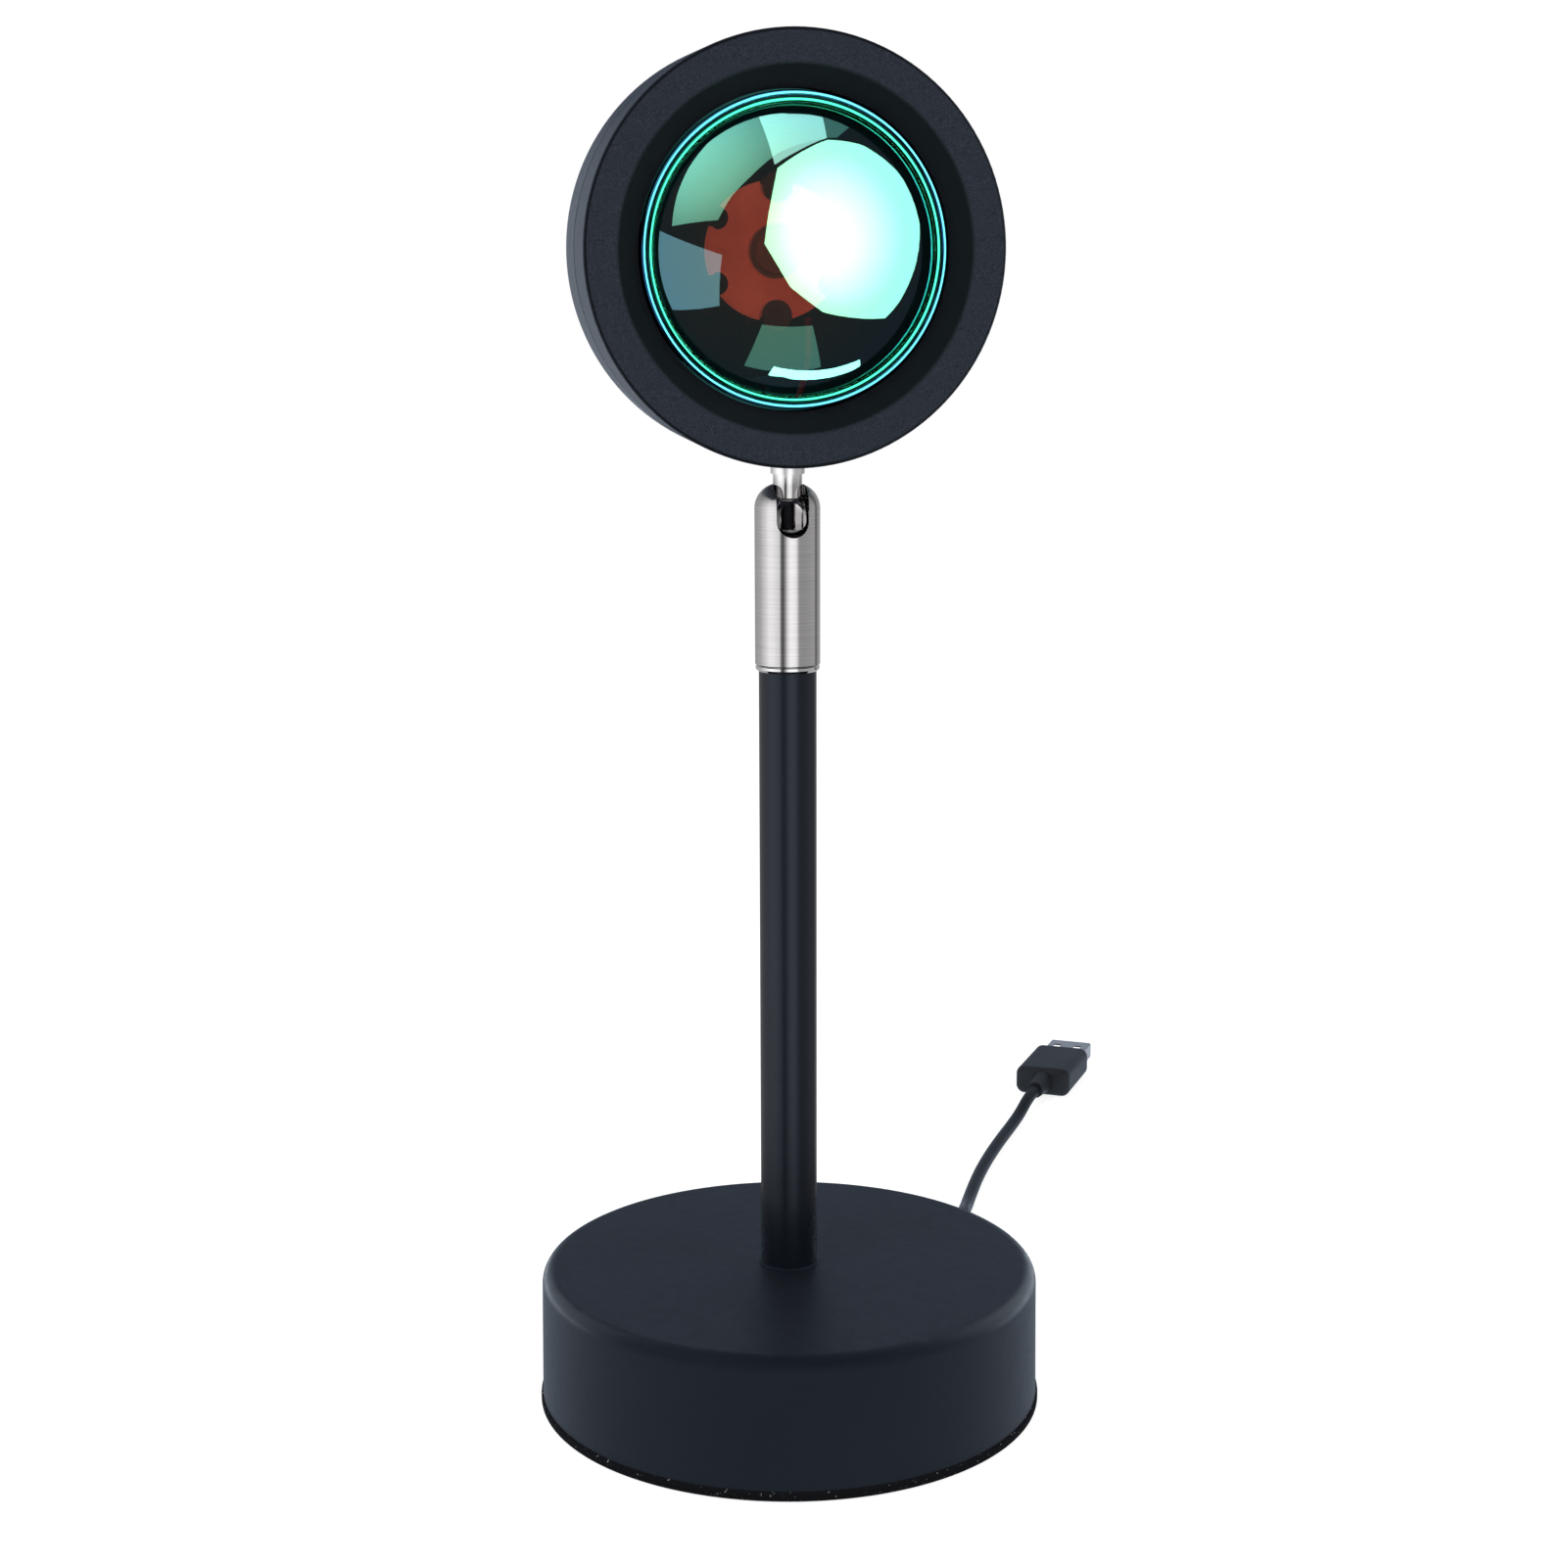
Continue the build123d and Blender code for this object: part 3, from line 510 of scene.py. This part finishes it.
def makeBead():
    startClean()
    s = beadSettings
    bpy.ops.mesh.primitive_torus_add(major_radius=s["poleRadius"], minor_radius=s["thick"],
                                     major_segments=s["around"], minor_segments=s["across"],
                                     location=(0, 0, s["height"]))
    bead = bpy.context.object
    bead.name = "poleBead"
    bpy.ops.object.transform_apply(location=True)
    bpy.ops.object.mode_set(mode="EDIT")
    bpy.ops.mesh.select_all(action="SELECT")
    bpy.ops.mesh.bisect(plane_co=(0, 0, s["height"]), plane_no=(0, 0, 1), clear_inner=True, use_fill=True)
    bpy.ops.object.mode_set(mode="OBJECT")
    bpy.ops.object.shade_smooth_by_angle(angle=smoothAngle)
    bead.data.materials.append(bpy.data.materials["satinBlackCoat"])
    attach(bead, "base")


makeBead()
print("pole bead made")

# supply lead on its route, with the put-away coil; coil and route are in millimetres

leadSettings = {
    "diameter": 3.2 * mm,
    "length": 0.885,
    "coilRadius": 23.5,
    "coilPitch": 3.75,
    "coilTurns": 7,
    "coilMiddle": (32.095, 70.102),
    "coilStart": math.radians(-13.4),
    "coilLow": 3.0,
    "coilHigh": 6.75,
    "climbHalf": 0.25,
    "pointsPerTurn": 16,
    "alongSteps": 8,
    "roundSteps": 6,
    "order": 3,
}
leadIn = [
    (45.33, 43.17, 7.5),
    (48.23, 45.93, 7.5),
    (50.9, 50.0, 6.6),
    (52.5, 54.0, 4.1),
    (53.46, 57.61, 3.0),
    (54.29, 61.53, 3.0),
]
leadOut = [
    (55.78, 67.75, 6.75),
    (56.80, 71.62, 6.75),
    (58.4, 77.5, 6.0),
    (60.4, 84.0, 4.1),
    (62.9, 91.4, 2.2),
    (66.1, 99.7, 1.6),
    (72.0, 113.5, 1.6),
    (78.6, 127.1, 1.6),
    (86.1, 141.0, 1.6),
    (92.0, 151.3, 1.6),
    (97.3, 160.2, 2.2),
    (102.27, 168.51, 4.0),
    (105.9, 174.5, 4.0),
]


def coilPoint(t):
    s = leadSettings
    past = t - s["coilTurns"] / 2
    if abs(past) < s["climbHalf"]:
        fromMiddle = past ** 2 / (2 * s["climbHalf"]) + s["climbHalf"] / 2
        climb = (1 + math.sin(math.pi * past / (2 * s["climbHalf"]))) / 2
    else:
        fromMiddle = abs(past)
        climb = 0.0 if past < 0 else 1.0
    radius = s["coilRadius"] - s["coilPitch"] * (s["coilTurns"] / 2 - fromMiddle)
    turn = s["coilStart"] + 2 * math.pi * t
    height = s["coilLow"] + (s["coilHigh"] - s["coilLow"]) * climb
    middleX, middleY = s["coilMiddle"]
    return (middleX + radius * math.cos(turn), middleY + radius * math.sin(turn), height)


def leadCurve(name, points, diameter, finish):
    line = bpy.data.curves.new(name, "CURVE")
    line.dimensions = "3D"
    line.resolution_u = leadSettings["alongSteps"]
    line.bevel_depth = diameter / 2
    line.bevel_resolution = leadSettings["roundSteps"]
    line.use_fill_caps = True
    spline = line.splines.new("NURBS")
    spline.points.add(len(points) - 1)
    for mark, place in zip(spline.points, points):
        mark.co = (*(v * mm for v in place), 1)
    spline.order_u = leadSettings["order"]
    spline.use_endpoint_u = True
    line.materials.append(finish)
    piece = bpy.data.objects.new(name, line)
    bpy.context.scene.collection.objects.link(piece)
    return piece


coilSteps = leadSettings["coilTurns"] * leadSettings["pointsPerTurn"]
coilPoints = [coilPoint(i / leadSettings["pointsPerTurn"]) for i in range(coilSteps + 1)]
supplyLead = leadCurve("supplyLead", leadIn + coilPoints + leadOut, leadSettings["diameter"], sheath)
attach(supplyLead, "base")
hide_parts("cord_lead_in", "cord_coil", "cord_tail")
print("supply lead laid")

# tie round the coil: a soft strap with a rounded section, its reach and height in millimetres

tieSettings = {
    "inner": 8.66,
    "outer": 25.4,
    "low": 1.1,
    "high": 8.65,
    "corner": 1.9 * mm,
    "cornerSteps": 6,
    "wide": 5.0 * mm,
    "thick": 0.9 * mm,
    "soft": 0.25 * mm,
    "softSteps": 3,
    "turn": leadSettings["coilStart"] + math.pi,
}
strapSettings = {"name": "tieStrap", "tones": ((0.012, 0.012, 0.013), (0.020, 0.020, 0.021)), "rough": (0.6, 0.8),
                 "scale": 1600, "depth": 0.0001}


def makeTie():
    startClean()
    s = tieSettings
    length = (s["outer"] - s["inner"]) * mm
    height = (s["high"] - s["low"]) * mm
    bpy.ops.mesh.primitive_plane_add(size=1.0)
    tie = bpy.context.object
    tie.name = "coilTie"
    bpy.ops.object.mode_set(mode="EDIT")
    bpy.ops.mesh.select_all(action="SELECT")
    bpy.ops.transform.resize(value=(length, height, 1))
    bpy.ops.mesh.bevel(offset=s["corner"], segments=s["cornerSteps"], affect="VERTICES")
    bpy.ops.mesh.delete(type="ONLY_FACE")
    bpy.ops.mesh.select_all(action="SELECT")
    bpy.ops.mesh.extrude_region_move(TRANSFORM_OT_translate={"value": (0, 0, s["wide"])})
    bpy.ops.mesh.select_all(action="SELECT")
    bpy.ops.mesh.normals_make_consistent(inside=False)
    bpy.ops.object.mode_set(mode="OBJECT")
    wall = tie.modifiers.new("wall", "SOLIDIFY")
    wall.thickness = s["thick"]
    wall.offset = 1.0
    soft = tie.modifiers.new("soft", "BEVEL")
    soft.width = s["soft"]
    soft.segments = s["softSteps"]
    bpy.ops.object.modifier_apply(modifier="wall")
    bpy.ops.object.modifier_apply(modifier="soft")
    middle = Vector((*leadSettings["coilMiddle"], 0)) * mm
    reach = (s["inner"] + s["outer"]) / 2 * mm
    lift = (s["low"] + s["high"]) / 2 * mm
    place = (Matrix.Translation(middle) @ Matrix.Rotation(s["turn"], 4, "Z")
             @ Matrix.Translation((reach, 0, lift)) @ Matrix.Rotation(math.pi / 2, 4, "X")
             @ Matrix.Translation((0, 0, -s["wide"] / 2)))
    tie.matrix_world = place
    bpy.ops.object.transform_apply(location=True, rotation=True, scale=True)
    bpy.ops.object.shade_smooth_by_angle(angle=smoothAngle)
    tie.data.materials.append(moulded(strapSettings))
    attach(tie, "base")
    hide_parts("cord_tie")
    return tie


coilTie = makeTie()

# leads inside the neck and the head, on the tilted neck's own axes, in millimetres from the ball

innerLeads = {
    "neckLow": -4.65,
    "stemTop": 17.3,
    "neckDiameter": 2.7 * mm,
    "headDiameter": 1.1 * mm,
    "route": [
        (0.65, 0.85, 0.3),
        (0.9, 1.4, 4.0),
        (2.2, 3.2, 8.6),
        (3.8, 6.5, 13.0),
        (4.8, 9.1, 17.2),
        (5.0, 9.9, 20.6),
        (4.9, 9.9, 23.6),
    ],
    "rough": (0.35, 0.5),
    "pair": [
        (1, "redLead", "head_lead_red", "red_wire", ((0.42, 0.02, 0.014), (0.60, 0.04, 0.03))),
        (-1, "blackLead", "head_lead_black", "black_wire", ((0.010, 0.010, 0.010), (0.018, 0.018, 0.018))),
    ],
}


def tilted(points):
    turned = [headTurn @ (Vector(p) * mm) + headSettings["ball"] for p in points]
    return [tuple(p / mm) for p in turned]


def makeInnerLeads():
    s = innerLeads
    halfway = (s["neckLow"] + s["stemTop"]) / 2
    axis = tilted([(0, 0, height) for height in (s["neckLow"], halfway, s["stemTop"])])
    neck = leadCurve("neckLead", axis, s["neckDiameter"], sheath)
    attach(neck, "neck")
    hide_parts("neck_lead")
    for side, name, node, slotName, shades in s["pair"]:
        route = tilted([(side * across, back, s["stemTop"] + up) for across, back, up in s["route"]])
        vinyl = moulded({"name": name + "Vinyl", "tones": shades, "rough": s["rough"]})
        lead = leadCurve(name, route, s["headDiameter"], vinyl)
        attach(lead, "head")
        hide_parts(node)


makeInnerLeads()
print("inner leads made")

# floor, world and studio light

stageSettings = {
    "floorSize": 8.0,
    "floorLevel": -0.0002,
    "floorGlow": 0.84,
    "floorTint": (0.34, 0.34, 0.34),
    "ambient": 0.5,
    "surround": (0.118, 0.143, 0.186),
    "surroundRadius": 2.2,
    "surroundMiddle": 0.2,
    "surroundHeights": (0.5, 1.9),
    "surroundLevels": (2.3, 0.9),
    "shade": (0.43, 0.50, 0.61),
    "shadeRadius": 2.4,
    "shadeLevel": -0.0001,
    "patchLevel": -0.00005,
    "discSides": 64,
}


def seenRays(tree):
    path = tree.nodes.new("ShaderNodeLightPath")
    seen = reckon(tree, "MAXIMUM", path.outputs["Is Camera Ray"], path.outputs["Is Glossy Ray"])
    return reckon(tree, "MAXIMUM", seen, path.outputs["Is Transmission Ray"])


def makeFloor():
    startClean()
    s = stageSettings
    bpy.ops.mesh.primitive_plane_add(size=s["floorSize"], location=(0, 0, s["floorLevel"]))
    floor = bpy.context.object
    floor.name = "floor"
    finish, tree, shader = newFinish("paleFloor", s["floorTint"], 0.9)
    shader.inputs["Specular IOR Level"].default_value = 0.0
    shader.inputs["Emission Color"].default_value = (1, 1, 1, 1)
    glow = reckon(tree, "MULTIPLY", seenRays(tree), s["floorGlow"])
    tree.links.new(glow, shader.inputs["Emission Strength"])
    floor.data.materials.append(finish)


def makeWorld():
    world = bpy.data.worlds.new("paleStudio")
    world.use_nodes = True
    tree = world.node_tree
    back = tree.nodes["Background"]
    back.inputs["Color"].default_value = (1, 1, 1, 1)
    spread(tree, seenRays(tree), (stageSettings["ambient"], 1.0), back.inputs["Strength"])
    bpy.context.scene.world = world


# seen in gloss only, and by its own receivers
def reflectorOnly(piece, receivers):
    piece.visible_camera = False
    piece.visible_diffuse = False
    piece.visible_shadow = False
    piece.visible_transmission = False
    piece.light_linking.receiver_collection = receivers


# the piece just added, named, set in place and given its light
def newReflector(name, finish, receivers):
    piece = bpy.context.object
    piece.name = name
    bpy.ops.object.transform_apply(location=True, rotation=True, scale=True)
    piece.data.materials.append(finish)
    reflectorOnly(piece, receivers)
    return piece


def newDisc(name, radius, level, finish, receivers):
    startClean()
    bpy.ops.mesh.primitive_circle_add(vertices=stageSettings["discSides"], radius=radius, fill_type="NGON",
                                      location=(0, 0, level))
    return newReflector(name, finish, receivers)


# a clear card adds its light for its own receivers and lets all others see through it
def glowFinish(name, colour, strength, clear=True):
    finish = bpy.data.materials.new(name)
    finish.use_nodes = True
    tree = finish.node_tree
    tree.nodes.clear()
    glow = tree.nodes.new("ShaderNodeEmission")
    glow.inputs["Color"].default_value = (*colour, 1)
    glow.inputs["Strength"].default_value = strength
    end = tree.nodes.new("ShaderNodeOutputMaterial")
    tree.links.new(glow.outputs["Emission"], end.inputs["Surface"])
    if clear:
        glass = tree.nodes.new("ShaderNodeBsdfTransparent")
        both = tree.nodes.new("ShaderNodeAddShader")
        tree.links.new(glow.outputs["Emission"], both.inputs[0])
        tree.links.new(glass.outputs["BSDF"], both.inputs[1])
        tree.links.new(both.outputs["Shader"], end.inputs["Surface"])
    return finish


# a glow's strength taken from a value in its own node tree
def setStrength(tree, value):
    tree.links.new(value, tree.nodes["Emission"].inputs["Strength"])


# a dim surround and a dim floor for gloss, so that dark coats mirror a studio and not the white room
def makeSurround(receivers):
    startClean()
    s = stageSettings
    bpy.ops.mesh.primitive_uv_sphere_add(segments=48, ring_count=24, radius=s["surroundRadius"],
                                         location=(0, 0, s["surroundMiddle"]))
    finish = glowFinish("surroundGrey", s["surround"], 1.0, clear=False)
    tree = finish.node_tree
    height = splitUp(tree, onPiece(tree))["Z"]
    setStrength(tree, along(tree, height, s["surroundHeights"], s["surroundLevels"], smooth=True))
    surround = newReflector("surround", finish, receivers)
    shadeFinish = glowFinish("shadeGrey", s["shade"], 1.0, clear=False)
    shade = newDisc("floorShade", s["shadeRadius"], s["shadeLevel"], shadeFinish, receivers)
    surround.visible_transmission = True
    shade.visible_transmission = True


# the way to an azimuth, from the front towards the right, and an elevation
def wayTo(azimuth, elevation):
    a, e = math.radians(azimuth), math.radians(elevation)
    return Vector((math.sin(a) * math.cos(e), -math.cos(a) * math.cos(e), math.sin(e)))


# light boxes that the dome mirrors, by the directions of their corners from the head's front
cardReach = 0.25
cardSettings = [
    {"name": "roundBox", "strength": 3.9, "tint": (1.04, 1.0, 0.80),
     "core": 12.0, "coreToward": (30, 8), "coreRadius": 0.19,
     "corners": [(48, 58), (74, 48), (86, 32), (91, 16), (86, -3), (80, -21), (75, -30), (27, -36), (2, -23),
                 (-14, 2), (-12, 17), (-5, 46)]},
    {"name": "longBox", "strength": 0.36, "core": 1.9, "coreToward": (-75, 48), "coreRadius": 0.26,
     "corners": [(-70, 11), (-71, 26), (-71, 40), (-69, 56), (-64, 69), (-46, 80), (48, 76), (92, 55), (59, 57),
                 (-4, 55), (-24, 41), (-35, 29), (-42, 15)]},
    {"name": "topPanel", "strength": 1.6, "tint": (1.6, 1.14, 1.3),
     "corners": [(-45, 80), (32, 79), (71, 68), (49, 59), (16, 56), (-7, 48)]},
    {"name": "leftPanel", "strength": 0.55, "tint": (1.25, 1.0, 1.65),
     "corners": [(-79, 9), (-39, -4), (-45, -32), (-78, -29)]},
    {"name": "rightArc", "strength": 0.35,
     "corners": [(93, -5), (104, -7), (109, -20), (107, -33), (108, -48), (98, -51), (97, -36), (97, -20)]},
]


def makeCard(s, receivers):
    mesh = bpy.data.meshes.new(s["name"])
    rim = [headFront + wayTo(*c) * cardReach for c in s["corners"]]
    middle = sum(rim, Vector()) / len(rim)
    count = len(rim)
    mesh.from_pydata(rim + [middle], [], [(i, (i + 1) % count, count) for i in range(count)])
    card = bpy.data.objects.new(s["name"], mesh)
    bpy.context.scene.collection.objects.link(card)
    finish = glowFinish(s["name"] + "Glow", s.get("tint", (1, 1, 1)), s["strength"])
    if "core" in s:
        tree = finish.node_tree
        away = tree.nodes.new("ShaderNodeVectorMath")
        away.operation = "DISTANCE"
        away.inputs[1].default_value = headFront + wayTo(*s["coreToward"]) * cardReach
        tree.links.new(onPiece(tree), away.inputs[0])
        fall = along(tree, away.outputs["Value"], (0.0, s["coreRadius"]), (s["core"], s["strength"]), smooth=True)
        setStrength(tree, fall)
    mesh.materials.append(finish)
    reflectorOnly(card, receivers)


# faint even light all round the dome, for the haze on its glass
veilSettings = {"radius": 0.2, "glow": (0.078, 0.040, 0.058)}


def makeVeil(receivers):
    startClean()
    bpy.ops.mesh.primitive_uv_sphere_add(segments=32, ring_count=16, radius=veilSettings["radius"], location=headFront)
    newReflector("veil", glowFinish("veilGlow", veilSettings["glow"], 1.0), receivers)


# bright patches on the floor before the base, seen in the dome alone
patchSettings = [
    {"middle": (0.012, -0.150), "half": (0.078, 0.080), "turn": 0.0, "strength": 0.40},
    {"middle": (0.088, -0.0475), "half": (0.102, 0.0135), "turn": math.radians(13), "strength": 6.0},
]


def makePatches(receivers):
    finish = glowFinish("patchGlow", (1, 1, 1), 0.0)
    tree = finish.node_tree
    total = 0.0
    for s in patchSettings:
        within = onPiece(tree, (*s["half"], 1), (*s["middle"], 0), (0, 0, s["turn"]))
        within.node.vector_type = "TEXTURE"
        parts = splitUp(tree, within)
        far = [reckon(tree, "ABSOLUTE", parts[axis]) for axis in ("X", "Y")]
        inside = reckon(tree, "LESS_THAN", reckon(tree, "MAXIMUM", *far), 1.0)
        total = reckon(tree, "MULTIPLY_ADD", inside, s["strength"], total)
    setStrength(tree, total)
    newDisc("patchFloor", stageSettings["shadeRadius"], stageSettings["patchLevel"], finish, receivers)


# striped wall that the bright metal mirrors: azimuth from the front towards the right, and its grey
wallSettings = {
    "radius": 0.13,
    "height": 0.3,
    "sides": 96,
    "fadeFrom": 0.17,
    "ceiling": 0.42,
    "bands": [
        (-90, 1.05), (-78, 1.3), (-62, 1.3), (-48, 1.08), (-40, 1.1), (-33, 0.10), (-29, 0.07),
        (-24, 0.14), (-17, 0.56), (-10, 1.15), (-1, 1.45), (13, 1.37), (20, 1.24), (29, 0.40), (48, 0.41),
        (74, 0.45), (95, 0.50), (102, 0.20), (106, 0.12), (113, 0.30), (124, 0.42), (140, 0.50), (160, 0.50),
        (203, 0.43), (240, 0.58), (265, 0.97),
    ],
}


def makeWall(receivers):
    startClean()
    s = wallSettings
    bpy.ops.mesh.primitive_cylinder_add(vertices=s["sides"], radius=s["radius"], depth=s["height"],
                                        end_fill_type="NOTHING", location=(0, 0, s["height"] / 2))
    finish = glowFinish("bandGlow", (1, 1, 1), 1.0)
    tree = finish.node_tree
    around = tree.nodes.new("ShaderNodeTexGradient")
    around.gradient_type = "RADIAL"
    tree.links.new(onPiece(tree), around.inputs["Vector"])
    stops = [((azimuth + 90) / 360, (grey, grey, grey)) for azimuth, grey in s["bands"]]
    tones(tree, around.outputs["Fac"], stops, tree.nodes["Emission"].inputs["Color"])
    height = splitUp(tree, onPiece(tree))["Z"]
    setStrength(tree, along(tree, height, (s["fadeFrom"], s["height"]), (1.0, s["ceiling"]), smooth=True))
    newReflector("bandWall", finish, receivers)
    newDisc("wallCeiling", s["radius"], s["height"], glowFinish("ceilingGlow", (1, 1, 1), s["ceiling"]), receivers)


# pale cards left and right, a low strip and a tall one each, for soft highlights along the black coats
sideSettings = {
    "tint": (0.84, 0.915, 1.0),
    "reach": 0.4,
    "cards": [
        {"name": "leftLow", "azimuth": -138, "wide": 0.44, "low": 0.0, "high": 0.02, "strength": 10.0},
        {"name": "leftHigh", "azimuth": -134, "wide": 0.40, "low": 0.09, "high": 0.42, "strength": 0.9},
        {"name": "rightLow", "azimuth": 118, "wide": 0.44, "low": 0.0, "high": 0.02, "strength": 10.0},
        {"name": "rightHigh", "azimuth": 114, "wide": 0.40, "low": 0.09, "high": 0.42, "strength": 1.4},
    ],
}


def makeSideCards(receivers):
    for s in sideSettings["cards"]:
        startClean()
        bpy.ops.mesh.primitive_plane_add(size=1.0)
        card = bpy.context.object
        middle = Vector((0, 0, (s["low"] + s["high"]) / 2))
        card.scale = (s["wide"], s["high"] - s["low"], 1)
        card.location = wayTo(s["azimuth"], 0) * sideSettings["reach"] + middle
        card.rotation_euler = (math.pi / 2, 0, math.radians(s["azimuth"]))
        newReflector(s["name"], glowFinish(s["name"] + "Glow", sideSettings["tint"], s["strength"]), receivers)


lampSettings = {
    "tint": (0.91, 0.95, 1.0),
    "aim": Vector((0, 0, 0.13)),
    "lamps": [
        {"name": "keyLamp", "toward": (-55, 48), "reach": 1.3, "size": 0.8, "power": 10},
        {"name": "fillLamp", "toward": (60, 30), "reach": 1.4, "size": 0.9, "power": 6},
        {"name": "backLamp", "toward": (170, 55), "reach": 1.4, "size": 0.8, "power": 2.5},
    ],
}


def makeLamps(receivers):
    for s in lampSettings["lamps"]:
        light = bpy.data.lights.new(s["name"], "AREA")
        light.shape = "DISK"
        light.size = s["size"]
        light.energy = s["power"]
        light.color = lampSettings["tint"]
        lamp = bpy.data.objects.new(s["name"], light)
        way = wayTo(*s["toward"])
        lamp.location = lampSettings["aim"] + way * s["reach"]
        lamp.rotation_euler = way.to_track_quat("Z", "Y").to_euler()
        lamp.light_linking.receiver_collection = receivers
        lamp.visible_glossy = False
        bpy.context.scene.collection.objects.link(lamp)


# CAD pieces that a light reaches, or with exclude the ones that it leaves out
def lightGroup(name, pieces, exclude=False):
    group = bpy.data.collections.new(name)
    for piece in pieces:
        group.objects.link(nodes[piece])
    if exclude:
        for member in group.collection_objects:
            member.light_linking.link_state = "EXCLUDE"
    return group


# the dome mirrors the boxes and not the lamps, the metal and the pole mirror the wall and not the room
shinyPieces = ("joint_sleeve", "joint_coupling", "joint_ball", "pole")
lensOnly = lightGroup("lensOnly", ["lens"])
metalOnly = lightGroup("metalOnly", shinyPieces)
coatOnly = lightGroup("coatOnly", ["base_shell", "front_barrel", "rear_cap"])
notLens = lightGroup("notLens", ["lens"], exclude=True)
notShiny = lightGroup("notShiny", ["lens", *shinyPieces], exclude=True)
makeFloor()
makeWorld()
for cardSet in cardSettings:
    makeCard(cardSet, lensOnly)
makeVeil(lensOnly)
makePatches(lensOnly)
makeWall(metalOnly)
makeSurround(notShiny)
makeSideCards(coatOnly)
makeLamps(notLens)
print("stage and lights set")

# camera at the photograph's viewing angle

cameraSettings = {
    "place": Vector((-93.2, -464.45, 210.7)) * mm,
    "heading": math.radians(-11.253),
    "pitch": math.radians(10.115),
    "roll": math.radians(-0.153),
    "sensor": 36,
    "focalPixels": 2500,
    "framePixels": 1601,
    "nearest": 0.01,
}


def makeCamera():
    s = cameraSettings
    eye = bpy.data.cameras.new("photoCamera")
    eye.sensor_width = s["sensor"]
    eye.lens = s["sensor"] * s["focalPixels"] / s["framePixels"]
    eye.clip_start = s["nearest"]
    camera = bpy.data.objects.new("photoCamera", eye)
    camera.location = s["place"]
    aim = (Matrix.Rotation(s["heading"], 3, "Z") @ Matrix.Rotation(math.pi / 2 - s["pitch"], 3, "X")
           @ Matrix.Rotation(s["roll"], 3, "Z"))
    camera.rotation_euler = aim.to_euler()
    bpy.context.scene.collection.objects.link(camera)
    bpy.context.scene.camera = camera


makeCamera()
bpy.context.scene.view_settings.view_transform = "Standard"
print("camera set")
